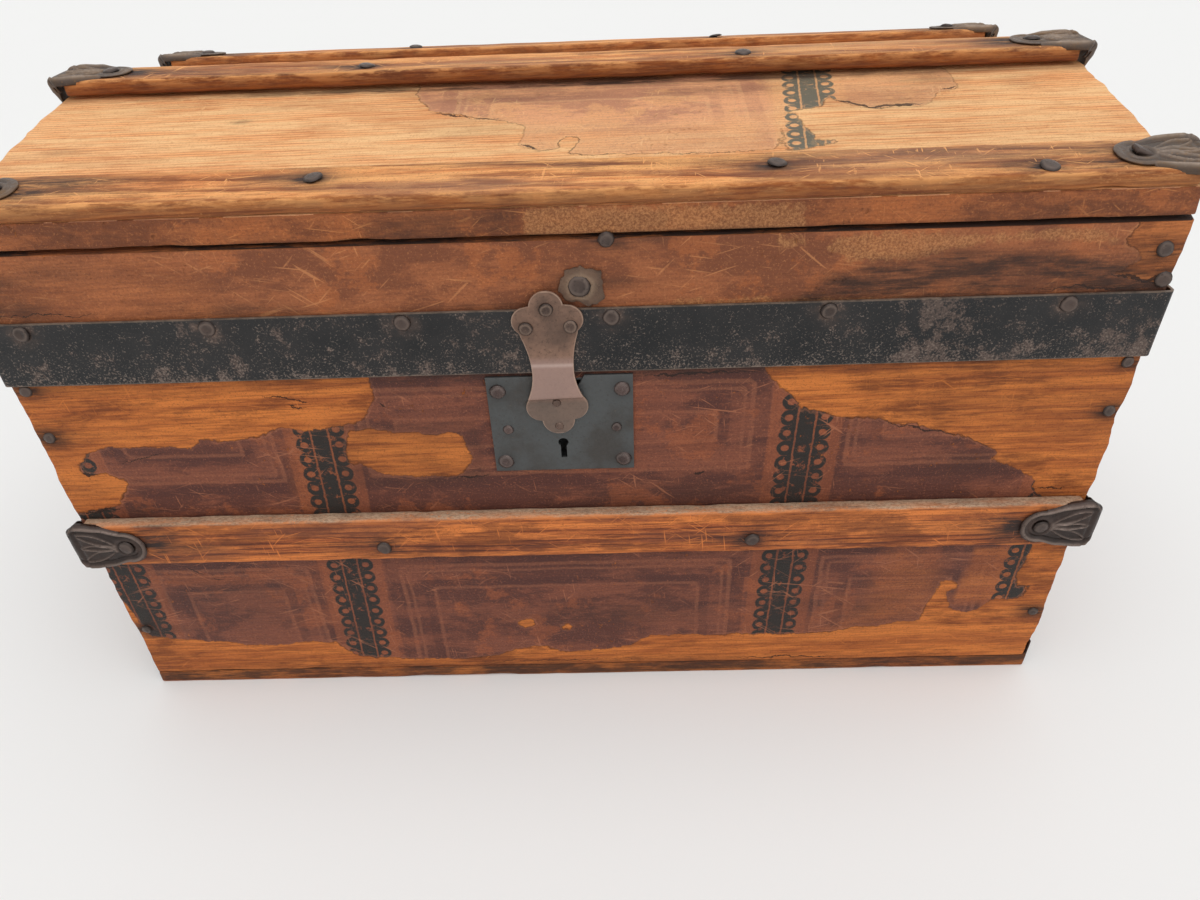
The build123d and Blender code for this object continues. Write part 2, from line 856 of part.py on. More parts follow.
with BuildPart() as lock_case:
    with BuildSketch(lock_front):
        with Locations((0, case_top)):
            Rectangle(case_width, case_height, align=(Align.CENTER, Align.MAX))
    extrude(amount=-case_depth)
    with BuildSketch(lock_front):
        with Locations((0, case_top - case_sheet)):
            Rectangle(
                case_width - 2 * case_sheet,
                case_height - 2 * case_sheet,
                align=(Align.CENTER, Align.MAX),
            )
        with Locations((0, case_top)):
            Rectangle(notch_width, 4 * case_sheet)
    extrude(amount=-(case_depth - case_sheet), mode=Mode.SUBTRACT)
    # Two ears take the rivets, and two rails carry the bolt.
    with BuildSketch(lock_front):
        for hand in both:
            with Locations((hand * case_width / 2, -case_rivet_drop)):
                Rectangle(
                    (case_rivet_x - case_width) / 2 + case_ear_end,
                    case_ear_height,
                    align=(Align.MIN if hand > 0 else Align.MAX, Align.CENTER),
                )
    extrude(amount=-case_sheet)
    rail_length = case_width / 2 - case_sheet - bolt_tail_end + 4 * bolt_room
    with BuildSketch(lock_front.offset(-bolt_room)):
        for hand in both:
            with Locations((hand * (case_width / 2 - case_sheet), bolt_bottom - bolt_room)):
                Rectangle(rail_length, case_sheet, align=(Align.MAX if hand > 0 else Align.MIN, Align.MAX))
    extrude(amount=-(case_depth - case_sheet - bolt_room))
    nail_holes(case_rivet_set)
save(lock_case, "lock_case")

with BuildPart() as lock_bolt:
    with BuildSketch(lock_front.offset(-bolt_room)):
        with Locations((bolt_left, bolt_top)):
            Rectangle(bolt_post, bolt_height, align=(Align.MIN, Align.MAX))
            Rectangle(bolt_tip - bolt_left, bolt_arm, align=(Align.MIN, Align.MAX))
        with Locations((bolt_left, bolt_bottom)):
            Rectangle(bolt_tail_end - bolt_left, bolt_tail, align=(Align.MIN, Align.MIN))
        with Locations((0, bolt_bottom)):
            Rectangle(bolt_talon, bolt_talon_depth, align=(Align.CENTER, Align.MIN), mode=Mode.SUBTRACT)
    extrude(amount=-bolt_thickness)
save(lock_bolt, "lock_bolt")

with BuildPart() as lock_spring:
    spring_wall = -case_width / 2 + case_sheet
    spring_rest = bolt_top + bolt_room + spring_sheet / 2
    with BuildSketch(lock_front.offset(-bolt_room)):
        with BuildLine():
            Polyline(
                (spring_wall + spring_sheet / 2, case_top - case_sheet - spring_drop),
                (spring_wall + spring_sheet / 2, case_top - case_sheet - spring_drop - spring_seat),
                (spring_wall + bolt_post * spring_bend, spring_rest),
                (bolt_tip - bolt_room, spring_rest),
            )
        trace(line_width=spring_sheet)
    extrude(amount=-bolt_thickness)
save(lock_spring, "lock_spring")

# ============================================================ the hasp and its staple
hasp_under = band_face + hasp_room
side_plane = Plane(origin=hasp_plane.origin, x_dir=(0, -1, 0), z_dir=hasp_plane.x_dir * -1)

with BuildPart() as hasp:
    with BuildSketch(hasp_plane):
        with Locations((0, head_lobe_height)):
            Circle(head_lobe)
        with Locations((-head_side_spread, head_side_height), (head_side_spread, head_side_height)):
            Circle(head_side_lobe)
        with Locations((-foot_side_spread, foot_side_height), (foot_side_spread, foot_side_height)):
            Circle(foot_side_lobe)
        with Locations((0, foot_lobe_height)):
            Circle(foot_lobe)
        # The waist: two hollow curves a side, from the head's lobes down to the foot's.
        shoulder = (head_side_spread + head_side_lobe * 0.6, head_side_height - head_side_lobe * 0.8)
        waist = (waist_half_width, waist_height)
        flare = (flare_half_width, flare_height)
        upper = (waist[0] + 0.9, (shoulder[1] + waist[1]) / 2 - 1.0)
        lower = (waist[0] + 0.7, (waist[1] + flare[1]) / 2 - 0.5)
        foot = (foot_side_spread, foot_side_height - foot_side_lobe * 0.5)
        with BuildLine():
            Line((0, head_lobe_height), shoulder)
            ThreePointArc(shoulder, upper, waist)
            ThreePointArc(waist, lower, flare)
            Polyline(flare, foot, (0, foot_lobe_height), (0, head_lobe_height))
        make_face()
        mirror(about=Plane.YZ)
    extrude(amount=hasp_under + hasp_bulge + 2 * hasp_sheet)
    with BuildSketch(side_plane):
        high = head_lobe_height + head_lobe + 1.0
        low = foot_lobe_height - foot_lobe - 1.0
        bulge = hasp_under + hasp_bulge
        with BuildLine():
            Polyline(
                (hasp_under, high),
                (hasp_under, bulge_top),
                (bulge, bulge_edge),
                (hasp_under, bulge_end),
                (hasp_under, low),
                (hasp_under + hasp_sheet, low),
                (hasp_under + hasp_sheet, bulge_end - hasp_sheet * 0.3),
                (bulge + hasp_sheet, bulge_edge - hasp_sheet * 0.3),
                (hasp_under + hasp_sheet, bulge_top + hasp_sheet * 0.1),
                (hasp_under + hasp_sheet, high),
                close=True,
            )
        make_face()
    extrude(amount=box_length / 8, both=True, mode=Mode.INTERSECT)
    nail_holes(hasp_set)
    # Holes for the staple's two ends.
    leg = staple_height / 2 - staple_sheet / 2
    with BuildSketch(hasp_plane):
        with Locations((0, leg), (0, -leg)):
            Rectangle(staple_width + 2 * nail_room, staple_sheet + 2 * nail_room)
    extrude(amount=hasp_under + hasp_bulge + 2 * hasp_sheet, mode=Mode.SUBTRACT)
save(hasp, "hasp")

with BuildPart() as hasp_staple:
    staple_face = hasp_under + hasp_sheet
    with BuildSketch(side_plane) as staple_outline:
        with Locations((-staple_depth, 0)):
            Rectangle(staple_depth + staple_face, staple_height, align=(Align.MIN, Align.CENTER))
        fillet(staple_outline.vertices().group_by(Axis.X)[0], staple_sheet)
        with Locations((staple_sheet - staple_depth, 0)):
            Rectangle(
                staple_depth + staple_face,
                staple_height - 2 * staple_sheet,
                align=(Align.MIN, Align.CENTER),
                mode=Mode.SUBTRACT,
            )
    extrude(amount=staple_width / 2, both=True)
    with BuildSketch(hasp_plane.offset(staple_face)):
        with Locations((0, leg), (0, -leg)):
            RegularPolygon(staple_rivet_radius, large_facets)
    extrude(amount=staple_rivet_height, taper=staple_rivet_slope)
save(hasp_staple, "hasp_staple")

with BuildPart() as tin_washer:
    # The torn rest of a tin washer under its nail.
    with BuildSketch(front_place(washer_x, eave_height - washer_drop)):
        with BuildLine():
            step = 2 * pi / len(washer_tears)
            rim_points = [
                (washer_radius * left * cos(index * step), washer_radius * left * sin(index * step))
                for index, left in enumerate(washer_tears)
            ]
            Polyline(*rim_points, close=True)
        make_face()
    extrude(amount=washer_sheet)
    nail_holes(washer_set)
save(tin_washer, "tin_washer")


# ============================================================ the hinges
def hinge_leaf(x, up):
    """One leaf with its knuckles: the lid's has the middle one, the body's the outer two."""
    outer_length = (hinge_width - knuckle_length) / 2 - knuckle_gap
    clear = knuckle_radius + knuckle_room
    outer_spots = [(hand * (hinge_width - outer_length) / 2, 0) for hand in both]
    with BuildPart() as piece:
        with BuildSketch(back_place(x, hinge_z)) as outline:
            far = Align.MIN if up > 0 else Align.MAX
            Rectangle(hinge_width, leaf_length, align=(Align.CENTER, far))
            chamfer(outline.vertices().group_by(Axis.Y)[-1 if up > 0 else 0], hinge_corner)
            if up > 0:
                cut_spots = outer_spots
                cut_length = outer_length + 2 * knuckle_gap
            else:
                cut_spots = [(0, 0)]
                cut_length = knuckle_length + 2 * knuckle_gap
            with Locations(*cut_spots):
                Rectangle(cut_length, clear, align=(Align.CENTER, far), mode=Mode.SUBTRACT)
        extrude(amount=hinge_sheet)
        knuckle_spots = [(0, 0)] if up > 0 else outer_spots
        length = knuckle_length if up > 0 else outer_length
        pin_line = Plane(origin=(x, hinge_y, hinge_z), z_dir=(1, 0, 0))
        with Locations(*[pin_line.offset(spot[0]) for spot in knuckle_spots]):
            Cylinder(knuckle_radius, length)
        if up > 0:
            # The tongue that meets the body's leaf when the lid is fully open.
            lift = asin((hinge_standoff - hinge_sheet - stop_gap) / hypot(stop_length, stop_sheet / 2))
            tilt = radians(lid_swing - 90) - lift + atan(stop_sheet / 2 / stop_length)
            tongue = Plane(
                origin=(x - knuckle_length / 2, hinge_y, hinge_z),
                x_dir=(0, cos(tilt), sin(tilt)),
                z_dir=(1, 0, 0),
            )
            with BuildSketch(tongue):
                Rectangle(stop_length, stop_sheet, align=(Align.MIN, Align.CENTER))
            extrude(amount=knuckle_length)
        with BuildSketch(pin_line):
            RegularPolygon(pin_radius + pin_room, bore_facets, major_radius=False)
        extrude(amount=hinge_width, both=True, mode=Mode.SUBTRACT)
        nail_holes(lid_hinge_set if up > 0 else body_hinge_set)
    return piece


for side, hand in ((-1, "left"), (1, "right")):
    for up, owner in ((-1, "body"), (1, "lid")):
        save(hinge_leaf(side * hinge_spread / 2, up), f"{owner}_hinge_leaf_{hand}")

with BuildPart() as hinge_pins:
    for side in both:
        with Locations(Plane(origin=(side * hinge_spread / 2, hinge_y, hinge_z), z_dir=(1, 0, 0))):
            Cylinder(pin_radius, hinge_width + 2 * pin_end)
save(hinge_pins, "hinge_pins")

# ============================================================ the handles
for side, hand in ((-1, "left"), (1, "right")):
    with BuildPart() as handle:
        with BuildSketch(Plane.XY.offset(handle_height - handle_width / 2)):
            tab_end = handle_half_span + cap_end - cap_length - handle_lip
            near = side * end_x
            far = side * (end_x + handle_thickness)
            bow = side * handle_bow
            with BuildLine():
                for row in both:
                    Polyline(
                        (near, row * tab_end),
                        (near, row * handle_half_span),
                        (far, row * handle_half_span),
                        (far, row * tab_end),
                    )
                for edge in (near, far):
                    ThreePointArc((edge, -tab_end), (edge + bow, 0), (edge, tab_end))
            make_face()
        extrude(amount=handle_width)
    save(handle, f"leather_handle_{hand}")

    with BuildPart() as handle_caps:
        room = handle_thickness + cap_room
        wide = cap_half_width
        for row in both:
            cap_start = handle_half_span + cap_end - cap_length
            # Local X runs up the end of the trunk, local Y out of it.
            cap_place = Plane(
                origin=(side * end_x, row * cap_start, handle_height),
                x_dir=(0, 0, 1),
                z_dir=(0, row, 0),
            )
            with BuildSketch(cap_place):
                turn = side * row
                with BuildLine():
                    Polyline(
                        (wide + cap_flange, 0),
                        (wide + cap_flange, turn * cap_sheet),
                        (wide, turn * cap_sheet),
                        (wide, turn * (room + cap_sheet)),
                        (-wide, turn * (room + cap_sheet)),
                        (-wide, turn * cap_sheet),
                        (-wide - cap_flange, turn * cap_sheet),
                        (-wide - cap_flange, 0),
                        (-wide + cap_sheet, 0),
                        (-wide + cap_sheet, turn * room),
                        (wide - cap_sheet, turn * room),
                        (wide - cap_sheet, 0),
                        close=True,
                    )
                make_face()
            extrude(amount=cap_length)
        nail_holes(handle_set)
    save(handle_caps, f"handle_caps_{hand}")

# ============================================================ the nails
nail_nodes = (
    ("body_front_corner_nails", (front_corner_set,)),
    ("body_back_corner_nails", (back_corner_set,)),
    ("body_slat_nails", (body_slat_set,)),
    ("body_clamp_nails", (body_nose_set, body_ear_set)),
    ("lock_plate_nails", (plate_set,)),
    ("lock_case_rivets", (case_rivet_set,)),
    ("bottom_iron_nails", (iron_set,)),
    ("body_hinge_nails", (body_hinge_set,)),
    ("handle_nails", (handle_set,)),
    ("lid_front_nails", (lid_front_set,)),
    ("lid_back_nails", (lid_back_set,)),
    ("lid_slat_nails", (front_slat_set, ridge_slat_set, rear_slat_set)),
    ("lid_clamp_nails", (lid_nose_set, lid_ear_set)),
    ("band_nails", (band_set,)),
    ("hasp_rivets", (hasp_set,)),
    ("washer_nail", (washer_set,)),
    ("lid_hinge_nails", (lid_hinge_set,)),
)
for name, sets in nail_nodes:
    forms = [nail(nails.head_radius, nails.length) for nails in sets]
    with BuildPart() as nails_part:
        for nails, form in zip(sets, forms):
            with Locations(*nails.places):
                add(form)
    save(nails_part, name)
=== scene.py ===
import math

import bmesh
import bpy
from mathutils import Matrix, Vector, noise
from mathutils.bvhtree import BVHTree


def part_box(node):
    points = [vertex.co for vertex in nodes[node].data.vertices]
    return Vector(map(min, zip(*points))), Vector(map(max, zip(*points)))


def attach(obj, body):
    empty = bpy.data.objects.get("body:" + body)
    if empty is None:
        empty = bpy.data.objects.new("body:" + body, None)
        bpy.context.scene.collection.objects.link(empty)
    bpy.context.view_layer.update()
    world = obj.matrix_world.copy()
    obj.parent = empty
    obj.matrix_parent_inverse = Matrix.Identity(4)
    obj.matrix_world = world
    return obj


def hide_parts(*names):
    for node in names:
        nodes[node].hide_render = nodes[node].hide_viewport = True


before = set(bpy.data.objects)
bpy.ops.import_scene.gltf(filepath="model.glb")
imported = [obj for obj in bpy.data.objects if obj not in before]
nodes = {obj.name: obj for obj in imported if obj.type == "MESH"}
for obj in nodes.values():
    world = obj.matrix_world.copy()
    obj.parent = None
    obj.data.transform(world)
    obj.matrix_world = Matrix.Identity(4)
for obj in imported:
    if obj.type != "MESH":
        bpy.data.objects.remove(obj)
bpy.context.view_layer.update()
scene = bpy.context.scene

mm = 0.001
roof_pitch = math.radians(8.1)
half_depth = 0.1045  # the outer faces of the front and back boards
roof_eave = 0.2234  # the roof boards' upper corners, over those faces
roof_thickness = 0.0092
wall_top = 0.2152  # where the lid's walls meet the roof, at their inner faces
wall_thickness = 0.0095
inner_face = 0.0945  # the inner faces of the front and back boards
slat_half_length = 196.5 * mm
slat_half_width = 10.55 * mm
slat_thickness = 5.7 * mm
front_up = Vector((0.0, math.cos(roof_pitch), math.sin(roof_pitch)))
front_out = Vector((0.0, -math.sin(roof_pitch), math.cos(roof_pitch)))
rear_up = Vector((0.0, math.cos(roof_pitch), -math.sin(roof_pitch)))
rear_out = Vector((0.0, math.sin(roof_pitch), math.cos(roof_pitch)))

# ---------------------------------------------------------------- camera, floor and light

camera_yaw = -0.028451
camera_pitch = 0.638154
camera_roll = 0.042124
look = Vector((
    math.sin(camera_yaw) * math.cos(camera_pitch),
    math.cos(camera_yaw) * math.cos(camera_pitch),
    -math.sin(camera_pitch),
))
level = Vector((math.cos(camera_yaw), -math.sin(camera_yaw), 0.0))
down = look.cross(level)
right = math.cos(camera_roll) * level + math.sin(camera_roll) * down
below = math.cos(camera_roll) * down - math.sin(camera_roll) * level
camera = bpy.data.objects.new("camera", bpy.data.cameras.new("camera"))
camera.data.sensor_width = 36.0
camera.data.lens = 25.985
camera.data.clip_start = 0.01
camera_turn = Matrix((right, -below, -look)).transposed().to_4x4()
camera.matrix_world = Matrix.Translation((0.017345, -0.365487, 0.322591)) @ camera_turn
scene.collection.objects.link(camera)
scene.camera = camera
scene.view_settings.view_transform = "Standard"


def tone(red, green, blue):
    """A screen colour from 0 to 255 as the linear colour that a shader takes."""
    share = [value / 255.0 for value in (red, green, blue)]
    return tuple(s / 12.92 if s < 0.04045 else ((s + 0.055) / 1.055) ** 2.4 for s in share) + (1.0,)


def part(value):
    """A value held between 0 and 1."""
    return max(0.0, min(1.0, value))


def eased(share):
    """A share from 0 to 1 that starts and ends softly."""
    return share * share * (3.0 - 2.0 * share)


class Finish:
    """A material, built up from small steps of its node tree."""

    def __init__(self, name, metallic=0.0, specular=0.5):
        self.material = bpy.data.materials.new(name)
        self.material.use_nodes = True
        self.tree = self.material.node_tree
        self.tree.nodes.clear()
        self.shader = self.add("ShaderNodeBsdfPrincipled")
        self.shader.inputs["Metallic"].default_value = metallic
        self.shader.inputs["Specular IOR Level"].default_value = specular
        output = self.add("ShaderNodeOutputMaterial")
        self.tree.links.new(self.shader.outputs["BSDF"], output.inputs["Surface"])
        self.place = self.add("ShaderNodeTexCoord").outputs["Object"]

    def add(self, kind, **settings):
        node = self.tree.nodes.new(kind)
        for key, value in settings.items():
            setattr(node, key, value)
        return node

    def join(self, source, socket):
        if isinstance(source, bpy.types.NodeSocket):
            self.tree.links.new(source, socket)
        else:
            socket.default_value = source

    def reckon(self, operation, first, second=0.0, clamp=False):
        node = self.add("ShaderNodeMath", operation=operation, use_clamp=clamp)
        self.join(first, node.inputs[0])
        self.join(second, node.inputs[1])
        return node.outputs[0]

    def times(self, first, second, clamp=False):
        return self.reckon("MULTIPLY", first, second, clamp)

    def plus(self, first, second):
        return self.reckon("ADD", first, second)

    def minus(self, first, second, clamp=False):
        return self.reckon("SUBTRACT", first, second, clamp)

    def apart(self, first, second):
        """How far two values are apart."""
        return self.reckon("ABSOLUTE", self.minus(first, second))

    def swing(self, cloud, width):
        """A cloud's value as a shift to both sides of nothing."""
        return self.times(self.minus(cloud, 0.5), width)

    def turned(self, scale, turn=(0.0, 0.0, 0.0), middle=(0.0, 0.0, 0.0)):
        """The place in a frame that is turned about a point; scale is features per metre along its axes."""
        node = self.add("ShaderNodeMapping", vector_type="TEXTURE")
        self.join(self.place, node.inputs["Vector"])
        self.join([1.0 / share for share in scale], node.inputs["Scale"])
        self.join([math.radians(angle) for angle in turn], node.inputs["Rotation"])
        self.join(middle, node.inputs["Location"])
        return node.outputs[0]

    def cloud(self, place, scale=1.0, detail=2.0, rough=0.5):
        node = self.add("ShaderNodeTexNoise")
        self.join(place, node.inputs["Vector"])
        self.join(scale, node.inputs["Scale"])
        self.join(detail, node.inputs["Detail"])
        self.join(rough, node.inputs["Roughness"])
        return node.outputs[0]

    def cells(self, place, scale, feature="F1"):
        node = self.add("ShaderNodeTexVoronoi", feature=feature)
        self.join(place, node.inputs["Vector"])
        self.join(scale, node.inputs["Scale"])
        return node.outputs["Distance"]

    def ramp(self, value, low, high, start=0.0, stop=1.0):
        """Goes softly from start to stop while value goes from low to high."""
        node = self.add("ShaderNodeMapRange", interpolation_type="SMOOTHSTEP")
        for socket, source in zip(node.inputs, (value, low, high, start, stop)):
            self.join(source, socket)
        return node.outputs[0]

    def mix(self, share, first, second):
        node = self.add("ShaderNodeMix", data_type="RGBA")
        self.join(share, node.inputs[0])
        self.join(first, node.inputs[6])
        self.join(second, node.inputs[7])
        return node.outputs[2]

    def lay(self, name):
        """A value painted on the piece's own points."""
        return self.add("ShaderNodeAttribute", attribute_name=name).outputs["Fac"]

    def axes(self, place=None):
        """A place's three parts, along x, y and z."""
        node = self.add("ShaderNodeSeparateXYZ")
        self.join(place or self.place, node.inputs[0])
        return node.outputs

    def close(self, colour, roughness, height=None, depth=0.0003):
        """Ends the material with its colour, roughness and, in metres, the depth of its fine relief."""
        self.join(colour, self.shader.inputs["Base Color"])
        self.join(roughness, self.shader.inputs["Roughness"])
        if height is not None:
            bump = self.add("ShaderNodeBump")
            bump.inputs["Strength"].default_value = 1.0
            bump.inputs["Distance"].default_value = depth
            self.join(height, bump.inputs["Height"])
            self.join(bump.outputs[0], self.shader.inputs["Normal"])
        return self.material


def pale_floor(half_width):
    bm = bmesh.new()
    bmesh.ops.create_grid(bm, x_segments=1, y_segments=1, size=half_width)
    floor = bpy.data.objects.new("floor", bpy.data.meshes.new("floor"))
    bm.to_mesh(floor.data)
    bm.free()
    scene.collection.objects.link(floor)
    coat = Finish("pale_floor", specular=0.2)
    floor.data.materials.append(coat.close(tone(238, 238, 237), 0.6))


def soft_light(name, place, spread, power):
    """A wide, far lamp, so that it lights the floor evenly."""
    lamp = bpy.data.lights.new(name, "SUN")
    lamp.angle = math.radians(spread)
    lamp.energy = power
    light = bpy.data.objects.new(name, lamp)
    light.location = place
    light.rotation_euler = Vector(place).to_track_quat("Z", "Y").to_euler()
    scene.collection.objects.link(light)


def room(ambient, backdrop):
    """A dim even light all round; what the camera, gloss and glass see of it is a pale backdrop."""
    world = bpy.data.worlds.new("room")
    world.use_nodes = True
    tree = world.node_tree
    tree.nodes.clear()
    rays = tree.nodes.new("ShaderNodeLightPath")
    seen = rays.outputs["Is Camera Ray"]
    for ray in ("Is Glossy Ray", "Is Transmission Ray"):
        either = tree.nodes.new("ShaderNodeMath")
        either.operation = "MAXIMUM"
        tree.links.new(seen, either.inputs[0])
        tree.links.new(rays.outputs[ray], either.inputs[1])
        seen = either.outputs[0]
    choice = tree.nodes.new("ShaderNodeMixShader")
    tree.links.new(seen, choice.inputs[0])
    for socket, colour, strength in ((1, (1.0, 1.0, 1.0, 1.0), ambient), (2, backdrop, 1.0)):
        glow = tree.nodes.new("ShaderNodeBackground")
        glow.inputs["Color"].default_value = colour
        glow.inputs["Strength"].default_value = strength
        tree.links.new(glow.outputs[0], choice.inputs[socket])
    output = tree.nodes.new("ShaderNodeOutputWorld")
    tree.links.new(choice.outputs[0], output.inputs[0])
    scene.world = world


pale_floor(12.0)
room(0.5, tone(243, 243, 241))
soft_light("lamp_above", (0.1, -0.35, 1.5), 70.0, 1.6)
soft_light("lamp_side", (0.9, -1.2, 0.9), 60.0, 0.35)

# ---------------------------------------------------------------- finishes


def pine(coat, light, middle, dark, across=False, rings=0.0017, pith=(0.0, 0.075, -0.03), lines=0.3,
         clouds=1.0):
    """Flat-sawn pine: growth rings round a pith behind the board, fibres and a worn patina.

    Gives the colour, the height and the fibres.
    """
    turn = (1.0, -0.8, 90.5) if across else (1.0, -0.8, 0.5)
    broad = coat.cloud(coat.turned((2.0, 9.0, 9.0), turn), 1.0, 2.0)
    _, aside, behind = coat.axes(coat.turned((1.0, 1.0, 1.0), turn, pith))
    square = coat.plus(coat.times(aside, aside), coat.times(behind, behind))
    radius = coat.plus(coat.reckon("SQRT", square), coat.times(broad, 0.012))
    ring = coat.reckon("FRACT", coat.reckon("DIVIDE", radius, rings))
    late = coat.times(coat.ramp(ring, 0.45, 0.92), coat.ramp(ring, 0.92, 1.0, 1.0, 0.0))
    fibre = coat.cloud(coat.turned((70.0, 1150.0, 1150.0), turn), 1.0, 4.0, 0.7)
    streak = coat.cloud(coat.turned((13.0, 240.0, 240.0), turn), 1.0, 6.0, 0.7)
    grit = coat.cloud(coat.place, 1300.0, 4.0, 0.8)
    patch = coat.cloud(coat.turned((18.0, 40.0, 40.0), turn), 1.0, 8.0, 0.7)
    colour = coat.mix(coat.ramp(streak, 0.4, 0.6), light, middle)
    colour = coat.mix(coat.times(coat.times(late, coat.ramp(streak, 0.35, 0.6)), lines), colour, dark)
    colour = coat.mix(coat.ramp(fibre, 0.47, 0.62, 0.0, 0.34), colour, dark)
    colour = coat.mix(coat.ramp(fibre, 0.36, 0.46, 0.4, 0.0), colour, light)
    colour = coat.mix(coat.ramp(coat.plus(patch, coat.times(fibre, 0.14)), 0.57, 0.69, 0.0, 0.55 * clouds),
                      colour, dark)
    colour = coat.mix(coat.ramp(patch, 0.36, 0.46, 0.5 * clouds, 0.0), colour, light)
    colour = coat.mix(coat.ramp(grit, 0.53, 0.66, 0.0, 0.5), colour, dark)
    height = coat.minus(coat.times(late, 0.25), coat.times(fibre, 1.5))
    return colour, height, fibre


def scratches(coat, colour, light, amount, side="front"):
    """Short pale scratches in several directions on a front, a roof or an end."""
    lines = None
    axis = {"front": 1, "roof": 2, "ends": 0}[side]
    run_axis = 1 if side == "ends" else 0
    for angle, wide, run, limit in (
        (38.0, 1000.0, 52.0, 0.68), (-44.0, 1100.0, 60.0, 0.68), (84.0, 900.0, 66.0, 0.67),
        (9.0, 1200.0, 42.0, 0.685), (-18.0, 1000.0, 48.0, 0.69),
    ):
        scale = [wide, wide, wide]
        scale[run_axis] = run
        turn = [0.0, 0.0, 0.0]
        turn[axis] = angle
        wave = coat.cloud(coat.turned(scale, turn, (angle * mm, 0.2, 0.1)), 1.0, 1.0, 0.5)
        line = coat.ramp(wave, limit, limit + 0.07)
        lines = line if lines is None else coat.reckon("MAXIMUM", lines, line)
    here = coat.ramp(coat.cloud(coat.place, 40.0, 5.0, 0.65), 0.44, 0.6)
    return coat.mix(coat.times(coat.times(lines, here), amount), colour, light)


